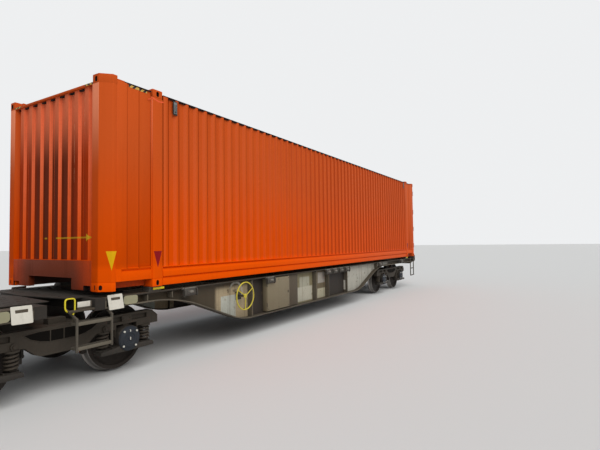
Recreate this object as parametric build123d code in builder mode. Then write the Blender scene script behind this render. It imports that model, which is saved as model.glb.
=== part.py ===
from build123d import *
import os
from math import radians, tan

# Articulated container flat wagon: two platforms hinged over one shared bogie, one 45 ft container.
# Millimetres. X runs along the wagon, Y across it, Z up. The origin is at the foot of the wheel
# flanges, under the middle pivot. The container stands on the platform that points to +X.

# Running gear
flange_depth = 28
tread_radius = 460
back_to_back = 1360
wheelbase = 1800
pivot_spacing = 11995
axle_z = tread_radius + flange_depth
rail_z = flange_depth

# Platform
buffer_face_x = 14795
headstock_x = 14175
load_height = 1155
seat_z = rail_z + load_height
girder_top_z = 1110
girder_shallow_z = 965
girder_belly_z = 370
girder_inner_x = 440
girder_outer_y = 1230
girder_inner_y = 1040
flange_thick = 20
web_y = 1106
web_thick = 12
bowl_z = 930
spigot_y = 2259 / 2

# Container, 45 ft pallet-wide high cube
box_length = 13716
box_half_width = 1275
box_height = 2896
box_front_x = 385
box_rear_x = box_front_x + box_length
casting_height = 118
casting_length = 178
forty_foot_hole_x = 865.5
forty_foot_x = (box_front_x + forty_foot_hole_x, box_rear_x - forty_foot_hole_x)
chamfer_along = 124
chamfer_across = 127
corrugation_pitch = 211.5
corrugation_depth = 36
sheet_thick = 8
rail_top = 290
tunnel_half_width = 560
tunnel_height = 172
roof_z = seat_z + 2855

os.makedirs("parts", exist_ok=True)


def save(piece, label):
    """Label a finished piece and write it under the same name."""
    piece.label = label
    export_step(piece, f"parts/{label}.step")


def turned(piece):
    """The same piece on the other platform: turned half a turn about the middle pivot."""
    return piece.rotate(Axis.Z, 180)


def across(x):
    """Upright plane across the wagon: sketch right is +Y, sketch up is +Z, extrudes to +X."""
    return Plane.YZ.offset(x)


def along(y):
    """Upright plane along the wagon: sketch right is +X, sketch up is +Z, extrudes to -Y."""
    return Plane.XZ.offset(-y)


def level(z):
    """Level plane at a height: extrudes up."""
    return Plane.XY.offset(z)


# Wheelset: one turned section, half of it from the middle of the axle to its end
hub_radius = 130
journal_radius = 65
journal_end_y = 1100
half_axle = [  # distance from the middle, radius
    (0, 80),
    (back_to_back / 2, 80),
    (back_to_back / 2, tread_radius + flange_depth),
    (712, tread_radius),
    (815, tread_radius),
    (815, 400),
    (780, 400),
    (780, hub_radius),
    (838, hub_radius),
    (838, journal_radius),
    (journal_end_y, journal_radius),
]


def wheelset(axle_x):
    axle_plane = Plane(origin=(axle_x, 0, axle_z), x_dir=(0, 1, 0), z_dir=(1, 0, 0))
    right_half = half_axle + [(journal_end_y, 0)]
    left_half = [(-distance, radius) for distance, radius in reversed(right_half[1:])]
    with BuildPart() as axle:
        with BuildSketch(axle_plane):
            with BuildLine():
                Polyline(*left_half, *right_half, close=True)
            make_face()
        revolve(axis=Axis((axle_x, 0, axle_z), (0, 1, 0)))
    return axle.part


bogie_x = (-pivot_spacing, 0, pivot_spacing)
for bogie_number, pivot_x in enumerate(bogie_x, start=1):
    for axle_number, side in enumerate((-1, 1), start=1):
        axle_x = pivot_x + side * wheelbase / 2
        save(wheelset(axle_x), f"wheelset_{2 * bogie_number - 2 + axle_number}")

# Bogie frame: two dipped side frames, a bolster with the centre bowl, and side bearers
side_frame_y = 990
side_frame_width = 110
frame_top = rail_z + 800
frame_under = rail_z + 600
horn_top = rail_z + 660
frame_dip = rail_z + 468
frame_end_x = 1440
half_side_frame = [  # distance from the pivot, height, corner radius
    (0, frame_dip, 0),
    (290, frame_dip, 150),
    (450, frame_under, 60),
    (735, frame_under, 0),
    (735, horn_top, 0),
    (1065, horn_top, 0),
    (1065, frame_under, 0),
    (frame_end_x, frame_under, 0),
    (frame_end_x, frame_top - 90, 0),
    (frame_end_x - 110, frame_top, 60),
]
bolster_half_length = 270
bowl_radius = 185
bearer_y = 850
bearer_height = 70


def bogie_frame(pivot_x):
    mirrored = [(-x, z, r) for x, z, r in reversed(half_side_frame[1:])]
    corners = half_side_frame + mirrored
    with BuildSketch() as side_shape:
        with BuildLine():
            FilletPolyline(*[(x, z) for x, z, r in corners], radius=[r for x, z, r in corners], close=True)
        make_face()
    with BuildPart() as frame:
        with BuildSketch(along(side_frame_y)):
            add(side_shape.sketch)
        extrude(amount=side_frame_width / 2, both=True)
        # The outer face is sunk between the flanges, with two stiffeners left in the middle
        with BuildSketch(along(side_frame_y + side_frame_width / 2)):
            with Locations((-205, rail_z + 635), (0, rail_z + 635), (205, rail_z + 635)):
                Rectangle(180, 190)
            with Locations((-920, rail_z + 732), (920, rail_z + 732)):
                Rectangle(640, 70)
        extrude(amount=40, mode=Mode.SUBTRACT)
        mirror(about=Plane.XZ)
        with BuildSketch(level(rail_z + 620)):
            Rectangle(2 * bolster_half_length, 2 * side_frame_y - side_frame_width)
        extrude(amount=frame_top - rail_z - 620)
        with BuildSketch(level(frame_top)):
            with Locations((0, bearer_y), (0, -bearer_y)):
                Rectangle(220, 110)
        extrude(amount=bearer_height)
        with BuildSketch(level(frame_top)):
            Circle(bowl_radius)
        extrude(amount=bowl_z - frame_top)
    return frame.part.moved(Location((pivot_x, 0, 0)))


# Axlebox with spring wings and round cover, open inside for the journal
wing_top = rail_z + 352
spring_offset = 335
spring_radius = 80
box_radius = 172
cover_radius = 166
cover_thick = 31


def axleboxes(pivot_x):
    with BuildPart() as boxes:
        for axle_x in (-wheelbase / 2, wheelbase / 2):
            with BuildSketch(along(1015)):
                with Locations((axle_x, axle_z)):
                    Circle(box_radius)
                with Locations((axle_x, wing_top - 30)):
                    Rectangle(2 * (spring_offset + spring_radius + 12), 60)
                with Locations((axle_x, axle_z - 40)):
                    Rectangle(330, 140)
            extrude(amount=90, both=True)
            # Roller bearing's seat, drawn with eight flats
            with BuildSketch(along(925)):
                with Locations((axle_x, axle_z)):
                    RegularPolygon(journal_radius + 1, 8, major_radius=False)
            extrude(amount=-182, mode=Mode.SUBTRACT)
            with BuildSketch(along(1105)):
                with Locations((axle_x, axle_z)):
                    Circle(cover_radius)
            extrude(amount=-cover_thick)
        mirror(about=Plane.XZ)
    return boxes.part.moved(Location((pivot_x, 0, 0)))


def bogie_springs(pivot_x):
    with BuildPart() as springs:
        with BuildSketch(level(wing_top)):
            for axle_x in (-wheelbase / 2, wheelbase / 2):
                for offset_x in (-spring_offset, spring_offset):
                    with Locations((axle_x + offset_x, side_frame_y), (axle_x + offset_x, -side_frame_y)):
                        RegularPolygon(spring_radius, 12)
        extrude(amount=frame_under - wing_top)
    return springs.part.moved(Location((pivot_x, 0, 0)))


# Brake gear: a beam in front of each axle with two blocks on hangers, and the pull rod
block_gap = 7
block_thick = 62
block_y = 762
block_width = 80


def bogie_brakes(pivot_x):
    beam_x = wheelbase / 2 - tread_radius - block_gap - block_thick - 12
    with BuildPart() as brakes:
        for side in (-1, 1):
            axle_x = side * wheelbase / 2
            with BuildSketch(along(block_y)):
                with Locations((axle_x, axle_z)):
                    Circle(tread_radius + block_gap + block_thick)
                    Circle(tread_radius + block_gap, mode=Mode.SUBTRACT)
                with Locations((side * beam_x, axle_z)):
                    Rectangle(190, 300, mode=Mode.INTERSECT)
            extrude(amount=block_width / 2, both=True)
            mirror(about=Plane.XZ)
            with BuildSketch(along(0)):
                with Locations((side * beam_x, axle_z)):
                    Rectangle(44, 66)
            extrude(amount=820, both=True)
            with BuildSketch(across(side * beam_x)):
                with Locations((810, axle_z + 90), (-810, axle_z + 90)):
                    Rectangle(20, 250)
                with Locations((872, axle_z + 205), (-872, axle_z + 205)):
                    Rectangle(126, 30)
            extrude(amount=16, both=True)
        with BuildSketch(level(axle_z - 12)):
            Rectangle(2 * beam_x, 50)
        extrude(amount=24)
    return brakes.part.moved(Location((pivot_x, 0, 0)))


for bogie_number, pivot_x in enumerate(bogie_x, start=1):
    save(bogie_frame(pivot_x), f"bogie_{bogie_number}_frame")
    save(axleboxes(pivot_x), f"bogie_{bogie_number}_axleboxes")
    save(bogie_springs(pivot_x), f"bogie_{bogie_number}_springs")
    save(bogie_brakes(pivot_x), f"bogie_{bogie_number}_brakes")

# Side girders: a fish-bellied web between flanges that follow its outline, with stiffeners
girder_end_x = headstock_x - 50
belly_start_x = 3256
slope_top_x = 1677
girder_corners = [  # distance from the middle pivot, height, corner radius
    (girder_inner_x, girder_top_z, 0),
    (girder_end_x, girder_top_z, 0),
    (girder_end_x, girder_shallow_z, 0),
    (pivot_spacing - slope_top_x, girder_shallow_z, 2400),
    (pivot_spacing - belly_start_x, girder_belly_z, 1420),
    (belly_start_x, girder_belly_z, 1420),
    (slope_top_x, girder_shallow_z, 2400),
    (girder_inner_x, girder_shallow_z, 0),
]
stiffener_x = (1120, 1580, 3560, 6100, 6760, 7870, 10160)
stiffener_width = 16

with BuildSketch() as girder_shape:
    with BuildLine():
        FilletPolyline(
            *[(x, z) for x, z, r in girder_corners], radius=[r for x, z, r in girder_corners], close=True
        )
    make_face()

with BuildPart() as side_girders:
    with BuildSketch(along(web_y)):
        add(girder_shape.sketch)
    extrude(amount=web_thick / 2, both=True)
    with BuildSketch(along((girder_outer_y + girder_inner_y) / 2)):
        add(girder_shape.sketch)
        offset(amount=-flange_thick, kind=Kind.INTERSECTION, mode=Mode.SUBTRACT)
    extrude(amount=(girder_outer_y - girder_inner_y) / 2, both=True)
    with BuildSketch(along(girder_outer_y - 8)):
        with Locations(*[(x, (girder_top_z + girder_belly_z) / 2) for x in stiffener_x]):
            Rectangle(stiffener_width, girder_top_z - girder_belly_z)
        add(girder_shape.sketch, mode=Mode.INTERSECT)
    extrude(amount=girder_outer_y - 8 - web_y)
    mirror(about=Plane.XZ)

# Cross members between the girders, main bolster over the end pivot, and short inner beams
member_high_z = girder_top_z - flange_thick
bolster_low_z = girder_shallow_z + flange_thick
cross_members_table = [  # distance from the middle pivot, low side, length along X
    (1720, bolster_low_z, 120),
    (2900, 800, 140),
    (4300, 640, 160),
    (5997, 560, 200),
    (7700, 640, 160),
    (9100, 800, 140),
    (10280, bolster_low_z, 120),
    (pivot_spacing, bolster_low_z, 420),
]
inner_beam_y = 430
inner_beam_width = 110

with BuildPart() as cross_members:
    for member_x, low_z, length in cross_members_table:
        with BuildSketch(level(low_z)):
            with Locations((member_x, 0)):
                Rectangle(length, 2 * web_y - web_thick)
        extrude(amount=member_high_z - low_z)
    for start_x, end_x in ((girder_inner_x, 1720), (10280, girder_end_x)):
        with BuildSketch(level(990)):
            with Locations(((start_x + end_x) / 2, inner_beam_y), ((start_x + end_x) / 2, -inner_beam_y)):
                Rectangle(end_x - start_x, inner_beam_width)
        extrude(amount=100)

# Centre plate on the end bogie's bowl, and rubbing plates over its side bearers
bearer_gap = 6
with BuildPart() as centre_plates:
    with BuildSketch(level(bowl_z + 1)):
        with Locations((pivot_spacing, 0)):
            Circle(160)
    extrude(amount=bolster_low_z - bowl_z - 1)
    with BuildSketch(level(frame_top + bearer_height + bearer_gap)):
        with Locations((pivot_spacing, bearer_y), (pivot_spacing, -bearer_y)):
            Rectangle(200, 100)
    extrude(amount=bolster_low_z - frame_top - bearer_height - bearer_gap)

# Articulation: each platform ends in a cross beam, a tongue and a deck plate cut back in a V
deck_gap = 20
deck_half_width = 950
deck_taper = tan(radians(6.5))
deck_rear_x = 1000
tongue_radius = 210
pin_radius = 60


def articulation(tongue_low, tongue_high, hole_radius):
    with BuildPart() as head:
        with BuildSketch(level(960)):
            with Locations((370, 0)):
                Rectangle(140, 2 * girder_outer_y)
        extrude(amount=150)
        with BuildSketch(level(tongue_low)):
            with Locations((220, 0)):
                Rectangle(440, 2 * tongue_radius)
            Circle(tongue_radius)
            if hole_radius:
                Circle(hole_radius, mode=Mode.SUBTRACT)
        extrude(amount=tongue_high - tongue_low)
        with BuildSketch(level(girder_top_z)):
            with BuildLine():
                Polyline(
                    (deck_gap, 0),
                    (deck_gap + deck_half_width * deck_taper, deck_half_width),
                    (deck_rear_x, deck_half_width),
                    (deck_rear_x, -deck_half_width),
                    (deck_gap + deck_half_width * deck_taper, -deck_half_width),
                    close=True,
                )
            make_face()
        extrude(amount=12)
    return head


upper_head = articulation(1024, 1090, 0)
with BuildPart() as articulation_upper:
    add(upper_head.part)
    with BuildSketch(level(958)):
        Circle(pin_radius)
    extrude(amount=70)

lower_head = articulation(948, 1016, pin_radius + 1)
with BuildPart() as articulation_lower:
    add(lower_head.part)
    with BuildSketch(level(bowl_z + 1)):
        Circle(160)
        Circle(pin_radius + 1, mode=Mode.SUBTRACT)
    extrude(amount=948 - bowl_z - 1)

# Headstock: end beam with sloped lower corners and pads behind the buffers
buffer_y = 875
buffer_z = rail_z + 1060
headstock_thick = 50

with BuildPart() as headstock:
    with BuildSketch(across(girder_end_x)):
        with BuildLine():
            Polyline(
                (-1240, 1168),
                (1240, 1168),
                (1240, 1010),
                (1090, 880),
                (-1090, 880),
                (-1240, 1010),
                close=True,
            )
        make_face()
        with Locations((0, rail_z + 1050)):
            Rectangle(150, 190, mode=Mode.SUBTRACT)
    extrude(amount=headstock_thick)
    with BuildSketch(across(headstock_x)):
        with Locations((buffer_y, buffer_z), (-buffer_y, buffer_z)):
            Rectangle(330, 330)
            Circle(60, mode=Mode.SUBTRACT)
    extrude(amount=24)

# Buffers: cylinder, plunger and a wide head with rounded corners
with BuildPart() as buffers:
    for side in (-1, 1):
        for start_x, end_x, radius in ((headstock_x + 24, 14520, 115), (14520, buffer_face_x - 45, 92)):
            with BuildSketch(across(start_x)):
                with Locations((side * buffer_y, buffer_z)):
                    Circle(radius)
            extrude(amount=end_x - start_x)
        with BuildSketch(across(buffer_face_x - 45)):
            with Locations((side * buffer_y, buffer_z)):
                RectangleRounded(450, 340, 110)
        extrude(amount=45)

# Draw hook through the headstock, with the screw coupling hanging from it
hook_z = rail_z + 1050
hook_corners = [  # distance from the headstock, height from the shank's axis, corner radius
    (-45, 28, 0),
    (150, 28, 20),
    (190, 95, 20),
    (285, 95, 60),
    (285, -75, 60),
    (150, -75, 40),
    (120, -28, 20),
    (-45, -28, 0),
]

with BuildPart() as draw_gear:
    with BuildSketch(along(0)):
        with BuildLine():
            FilletPolyline(
                *[(headstock_x + x, hook_z + z) for x, z, r in hook_corners],
                radius=[r for x, z, r in hook_corners],
                close=True,
            )
        make_face()
        with Locations((headstock_x + 215, hook_z + 60)):
            Rectangle(46, 90, mode=Mode.SUBTRACT)
    extrude(amount=28, both=True)
    with BuildSketch(across(headstock_x)):
        with Locations((0, hook_z)):
            Rectangle(180, 220)
            Rectangle(56, 56, mode=Mode.SUBTRACT)
    extrude(amount=20)
    # Links hang from a pin through the shank, joined at the foot
    with BuildSketch(across(headstock_x + 80)):
        with Locations((0, hook_z)):
            Rectangle(126, 34)
        with Locations((46, hook_z - 150), (-46, hook_z - 150)):
            Rectangle(34, 334)
        with Locations((0, hook_z - 300)):
            Rectangle(126, 40)
    extrude(amount=34)

# Container spigots: upright under the 40 ft castings, folded down beside the girder elsewhere
folded_x = (1915, 4137, 6686, 7060, 7426, 7800, 10349, 12571)

with BuildPart() as spigots:
    for seat_x in forty_foot_x:
        with BuildSketch(level(girder_top_z)):
            with Locations((seat_x, spigot_y)):
                Rectangle(230, 180)
        extrude(amount=seat_z - girder_top_z)
        with BuildSketch(level(seat_z)):
            with Locations((seat_x, spigot_y)):
                Rectangle(96, 50)
        extrude(amount=62, taper=12)
    for hinge_x in folded_x:
        with BuildSketch(across(hinge_x - 140)):
            with BuildLine():
                Polyline(
                    (girder_outer_y, girder_top_z),
                    (girder_outer_y + 34, girder_top_z),
                    (girder_outer_y + 58, 1000),
                    (girder_outer_y + 36, 962),
                    (girder_outer_y, 975),
                    close=True,
                )
            make_face()
        extrude(amount=280)
        with BuildSketch(Plane(origin=(hinge_x, girder_outer_y + 40, 1040), x_dir=(1, 0, 0), z_dir=(0, 1, 0.22))):
            Rectangle(96, 50)
        extrude(amount=34, taper=12)
    mirror(about=Plane.XZ)

# Steps at the inner end on one side, with stays up to the cross beam and a yellow hand loop
step_y = -1300
bar = 34
step_low_z = 500
step_high_z = 880
step_posts = [(8, -1220, 1010), (478, -1160, girder_shallow_z - 40)]  # near edge, end of the stay in Y and Z

with BuildPart() as steps:
    for post_x, stay_y, stay_z in step_posts:
        with BuildSketch(across(post_x)):
            with BuildLine():
                Polyline(
                    (step_y, step_low_z),
                    (step_y + bar, step_low_z),
                    (step_y + bar, step_high_z),
                    (stay_y, stay_z),
                    (stay_y, stay_z + 40),
                    (step_y, step_high_z + 24),
                    close=True,
                )
            make_face()
        extrude(amount=bar)
    step_start, step_end = step_posts[0][0], step_posts[1][0] + bar
    for tread_z in (step_low_z, step_high_z - 40):
        with BuildSketch(level(tread_z)):
            with Locations(((step_start + step_end) / 2, step_y + 60)):
                Rectangle(step_end - step_start, 120)
        extrude(amount=bar)
    # Edge bar that carries the stays, out from the cross beam's end
    with BuildSketch(level(960)):
        with Locations((130, -1200)):
            Rectangle(340, 60)
    extrude(amount=60)
    # Hand loop, standing on the edge bar
    with BuildSketch(along(-1200)):
        with Locations((-15, 1068)):
            RectangleRounded(140, 180, 30)
            RectangleRounded(100, 140, 20, mode=Mode.SUBTRACT)
    extrude(amount=10, both=True)
    # Shunter's steps at the outer end, both sides
    for side in (-1, 1):
        for post_x in (13650, 14040):
            with BuildSketch(across(post_x)):
                with Locations((side * (girder_outer_y + 15), 750)):
                    Rectangle(30, 680)
            extrude(amount=30)
        for tread_z in (430, 700):
            with BuildSketch(level(tread_z)):
                with Locations((13860, side * (girder_outer_y + 15))):
                    Rectangle(420, 30)
            extrude(amount=30)

# Hand brake: wheels on both sides, with spokes, on a shaft through the girders' webs
wheel_x = 3270
wheel_z = rail_z + 790
wheel_radius = 262
wheel_sides = 30
rim_width = 26
wheel_y = 1285

with BuildPart() as hand_brake:
    with BuildSketch(along(wheel_y)):
        with Locations((wheel_x, wheel_z)):
            RegularPolygon(wheel_radius, wheel_sides)
            RegularPolygon(wheel_radius - rim_width, wheel_sides, mode=Mode.SUBTRACT)
            with PolarLocations((wheel_radius - rim_width) / 2, 3, start_angle=-90):
                Rectangle(wheel_radius - 20, 22)
            Circle(45)
    extrude(amount=rim_width / 2, both=True)
    with BuildSketch(along(wheel_y)):
        with Locations((wheel_x, wheel_z)):
            Circle(22)
    extrude(amount=wheel_y - web_y - web_thick / 2)
    mirror(about=Plane.XZ)

# Brake cabinet boxes that fill the girder's outer channel, flush with its flanges
with BuildPart() as cabinets:
    with BuildSketch(along((girder_outer_y + web_y + web_thick / 2) / 2)):
        with Locations((4485, 740)):
            Rectangle(800, 660)
    extrude(amount=(girder_outer_y - web_y - web_thick / 2) / 2, both=True)
    mirror(about=Plane.XZ)

# Load plates: blank plates on brackets at the inner end
bracket_inset = 8

with BuildPart() as load_plates:
    for plate_x, low_z, high_z, width in ((583, 950, 1140, 215), (812, 992, 1100, 225)):
        with BuildSketch(along(girder_outer_y + 20)):
            with Locations((plate_x, (low_z + high_z) / 2)):
                Rectangle(width, high_z - low_z)
        extrude(amount=4, both=True)
        # Bracket back to the edges of both flanges
        with BuildSketch(along(girder_outer_y + 20)):
            with Locations((plate_x, (girder_top_z + girder_shallow_z) / 2)):
                Rectangle(width - 90, girder_top_z - girder_shallow_z - 2 * bracket_inset)
        extrude(amount=20)
    mirror(about=Plane.XZ)

# Air reservoirs across the wagon, slung from a cross member
with BuildPart() as air_reservoirs:
    # Middle, radius and half length of each tank, and where its brackets run
    for tank_x, radius, half_length, bracket_start, bracket_end in (
        (5200, 150, 480, 5330, 5897),
        (6800, 190, 560, 6097, 6630),
    ):
        with BuildSketch(along(0)):
            with Locations((tank_x, 830)):
                Circle(radius)
        extrude(amount=half_length, both=True)
        with BuildSketch(level(800)):
            for bracket_y in (-300, 300):
                with Locations(((bracket_start + bracket_end) / 2, bracket_y)):
                    Rectangle(bracket_end - bracket_start, 30)
        extrude(amount=60)

platform_pieces = [
    ("side_girders", side_girders),
    ("cross_members", cross_members),
    ("centre_plates", centre_plates),
    ("headstock", headstock),
    ("buffers", buffers),
    ("draw_gear", draw_gear),
    ("spigots", spigots),
    ("steps", steps),
    ("cabinets", cabinets),
    ("load_plates", load_plates),
    ("air_reservoirs", air_reservoirs),
]
for label, piece in platform_pieces:
    save(piece.part, f"loaded_{label}")
    save(turned(piece.part), f"empty_{label}")
save(articulation_upper.part, "loaded_articulation")
save(turned(articulation_lower.part), "empty_articulation")
save(hand_brake.part, "loaded_hand_brake")


# Container walls: folded sheet, its path worked out from the pitch
def corrugation(start, end, pitch, outer, depth):
    """Points of a folded sheet's outer face from start to end: (along, across)."""
    count = int((end - start) / pitch)
    margin = (end - start - count * pitch) / 2
    path = [(start, outer)]
    for i in range(count):
        left = start + margin + i * pitch
        path += [
            (left + 0.10 * pitch, outer),
            (left + 0.28 * pitch, outer - depth),
            (left + 0.72 * pitch, outer - depth),
            (left + 0.90 * pitch, outer),
        ]
    return path + [(end, outer)]


side_low_z = seat_z + rail_top
side_high_z = roof_z - 60
forty_half = 108
rail_inner_y = 1205
field_width = 211
field_depth = 12
field_margin = 90
end_panel_x = (box_front_x + casting_length, box_rear_x - casting_length)


def side_wall():
    start = forty_foot_x[0] + forty_half
    end = forty_foot_x[1] - forty_half
    outer = corrugation(start, end, corrugation_pitch, box_half_width - 2, corrugation_depth)
    inner = [(x, y - sheet_thick) for x, y in reversed(outer)]
    with BuildPart() as wall:
        with BuildSketch(level(side_low_z)):
            with BuildLine():
                Polyline(*outer, *inner, close=True)
            make_face()
        extrude(amount=side_high_z - side_low_z)
        for panel_start, panel_end in (
            (end_panel_x[0], forty_foot_x[0] - forty_half),
            (forty_foot_x[1] + forty_half, end_panel_x[1]),
        ):
            width = panel_end - panel_start
            with BuildSketch(level(side_low_z)):
                with Locations(((panel_start + panel_end) / 2, box_half_width - 2 - corrugation_depth / 2)):
                    Rectangle(width, corrugation_depth)
            extrude(amount=side_high_z - side_low_z)
            # Flat pressed field in the middle of the end panel
            with BuildSketch(level(side_low_z + field_margin)):
                with Locations(((panel_start + panel_end) / 2, box_half_width - 2)):
                    Rectangle(field_width, 2 * field_depth)
            extrude(amount=side_high_z - side_low_z - 2 * field_margin, mode=Mode.SUBTRACT)
    return wall.part


wall_left = side_wall()
save(wall_left, "box_side_wall_left")
save(mirror(wall_left, about=Plane.XZ), "box_side_wall_right")

# Front wall, folded the same way but with its ridges outwards, between the chamfered front posts
front_post_y = 970
front_pitch = 240.5
front_setback = 25
front_depth = 40
sill_top_z = seat_z + 410
header_z = seat_z + 2800

with BuildPart() as front_wall:
    deepest = -front_setback - front_depth
    front_path = corrugation(-front_post_y, front_post_y, front_pitch, deepest, -front_depth)
    face = [(box_front_x - depth, y) for y, depth in front_path]
    back = [(x + sheet_thick, y) for x, y in reversed(face)]
    with BuildSketch(level(sill_top_z)):
        with BuildLine():
            Polyline(*face, *back, close=True)
        make_face()
    extrude(amount=header_z - sill_top_z)

# Front sill, cut away in the middle for the gooseneck tunnel
with BuildPart() as front_sill:
    with BuildSketch(across(box_front_x)):
        with BuildLine():
            Polyline(
                (-front_post_y, seat_z + 10),
                (-tunnel_half_width, seat_z + 10),
                (-tunnel_half_width, seat_z + tunnel_height),
                (tunnel_half_width, seat_z + tunnel_height),
                (tunnel_half_width, seat_z + 10),
                (front_post_y, seat_z + 10),
                (front_post_y, sill_top_z),
                (-front_post_y, sill_top_z),
                close=True,
            )
        make_face()
    extrude(amount=90)
    # Pockets for the roping bars on each side of the tunnel
    with BuildSketch(across(box_front_x)):
        with Locations((906, seat_z + 42), (-906, seat_z + 42)):
            Rectangle(156, 66)
    extrude(amount=60, mode=Mode.SUBTRACT)

# Corner posts at the front, chamfered, and the 40 ft posts
post_low_z = seat_z + casting_height
post_high_z = seat_z + box_height - casting_height
front_corner = [  # distance behind the front plane, half width
    (0, front_post_y),
    (0, box_half_width - chamfer_across),
    (chamfer_along, box_half_width),
    (casting_length, box_half_width),
    (casting_length, rail_inner_y),
    (90, front_post_y),
]

with BuildPart() as posts:
    with BuildSketch(level(post_low_z)):
        with BuildLine():
            Polyline(*[(box_front_x + x, y) for x, y in front_corner], close=True)
        make_face()
        with Locations(*[(x, (box_half_width + rail_inner_y) / 2) for x in forty_foot_x]):
            Rectangle(2 * forty_half, box_half_width - rail_inner_y)
    extrude(amount=post_high_z - post_low_z)
    mirror(about=Plane.XZ)

# Castings: chamfered at the front corners, square elsewhere, with oblong sockets
socket = [(62, 16), (46, 32), (-46, 32), (-62, 16), (-62, -16), (-46, -32), (46, -32), (62, -16)]
casting_inner_y = 1057


def casting_outline(centre_x, front):
    if front:
        return [
            (box_front_x, front_post_y),
            (box_front_x, box_half_width - chamfer_across),
            (box_front_x + chamfer_along, box_half_width),
            (box_front_x + casting_length, box_half_width),
            (box_front_x + casting_length, casting_inner_y),
            (box_front_x + 150, front_post_y),
        ]
    half = casting_length / 2
    return [
        (centre_x - half, casting_inner_y),
        (centre_x - half, box_half_width),
        (centre_x + half, box_half_width),
        (centre_x + half, casting_inner_y),
    ]


casting_x = [  # centre along X, is it a front corner, does it have an open foot
    (box_front_x + casting_length / 2, True, False),
    (forty_foot_x[0], False, True),
    (forty_foot_x[1], False, True),
    (box_rear_x - casting_length / 2, False, False),
]

with BuildPart() as castings:
    for low_z in (seat_z, seat_z + box_height - casting_height):
        for centre_x, front, open_foot in casting_x:
            with BuildSketch(level(low_z)):
                with BuildLine():
                    Polyline(*casting_outline(centre_x, front), close=True)
                make_face()
            extrude(amount=casting_height)
            top = low_z > seat_z
            hole_z = low_z + casting_height / 2
            # Socket in the side, then the one in the top or the foot
            with BuildSketch(along(box_half_width)):
                with Locations((centre_x + (34 if front else 0), hole_z - 4)):
                    Polygon(*[(z, 0.62 * x) for x, z in socket])
            extrude(amount=26, mode=Mode.SUBTRACT)
            socket_depth = 92 if open_foot else 26
            with BuildSketch(level(low_z + casting_height - socket_depth if top else low_z)):
                with Locations((centre_x, spigot_y)):
                    Polygon(*socket)
            extrude(amount=socket_depth, mode=Mode.SUBTRACT)
    mirror(about=Plane.XZ)

# Bottom rails: ledge under the corrugations, set-back lower band; shorter ones at the ends
with BuildPart() as bottom_rails:
    middle_start = forty_foot_x[0] + forty_half
    middle_end = forty_foot_x[1] - forty_half
    with BuildSketch(across(middle_start)):
        with BuildLine():
            Polyline(
                (rail_inner_y, seat_z + 8),
                (1252, seat_z + 8),
                (1252, seat_z + 130),
                (1266, seat_z + 140),
                (1266, seat_z + 272),
                (box_half_width, seat_z + rail_top),
                (rail_inner_y, seat_z + rail_top),
                close=True,
            )
        make_face()
    extrude(amount=middle_end - middle_start)
    for start, end in (
        (end_panel_x[0], forty_foot_x[0] - forty_half),
        (forty_foot_x[1] + forty_half, end_panel_x[1]),
    ):
        with BuildSketch(across(start)):
            with Locations(((rail_inner_y + 1262) / 2, seat_z + (120 + rail_top) / 2)):
                Rectangle(1262 - rail_inner_y, rail_top - 120)
        extrude(amount=end - start)
    mirror(about=Plane.XZ)

# Top rails along the sides, and the front header
with BuildPart() as top_rails:
    for start, end in (
        (end_panel_x[0], forty_foot_x[0] - forty_half),
        (forty_foot_x[0] + forty_half, forty_foot_x[1] - forty_half),
        (forty_foot_x[1] + forty_half, end_panel_x[1]),
    ):
        with BuildSketch(across(start)):
            with Locations(((rail_inner_y + box_half_width) / 2, roof_z - 30)):
                Rectangle(box_half_width - rail_inner_y, 60)
        extrude(amount=end - start)
    mirror(about=Plane.XZ)
    with BuildSketch(across(box_front_x)):
        with Locations((0, (header_z + roof_z) / 2)):
            Rectangle(2 * front_post_y, roof_z - header_z)
    extrude(amount=90)

# Floor and the beams under it; at the front they stop beside the tunnel
tunnel_length = 3150
floor_low_z = seat_z + tunnel_height
floor_thick = 28

with BuildPart() as floor:
    with BuildSketch(level(floor_low_z)):
        with Locations(((end_panel_x[0] + end_panel_x[1]) / 2, 0)):
            Rectangle(end_panel_x[1] - end_panel_x[0], 2 * rail_inner_y)
        with Locations(((box_front_x + 90 + end_panel_x[0]) / 2, 0)):
            Rectangle(end_panel_x[0] - box_front_x - 90, 2 * front_post_y)
    extrude(amount=floor_thick)

beam_pitch = 620
beam_low_z = seat_z + 22
beam_start_x = box_front_x + tunnel_length + 160

with BuildPart() as floor_beams:
    beam_count = int((box_rear_x - 300 - beam_start_x) / beam_pitch) + 1
    with BuildSketch(level(beam_low_z)):
        for i in range(beam_count):
            with Locations((beam_start_x + i * beam_pitch, 0)):
                Rectangle(60, 2 * rail_inner_y)
    extrude(amount=floor_low_z - beam_low_z)
    # Tunnel sides, and the short beams outside them
    with BuildSketch(level(beam_low_z)):
        for side in (-1, 1):
            with Locations((box_front_x + 90 + tunnel_length / 2, side * (tunnel_half_width + 30))):
                Rectangle(tunnel_length, 60)
            for i in range(1, 5):
                short_y = (tunnel_half_width + rail_inner_y) / 2
                with Locations((box_front_x + 380 + i * beam_pitch, side * short_y)):
                    Rectangle(60, rail_inner_y - tunnel_half_width)
    extrude(amount=floor_low_z - beam_low_z)

# Roof: one sheet with shallow pressed ridges across it
ridge_count = 24
ridge_half_width = 940

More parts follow.
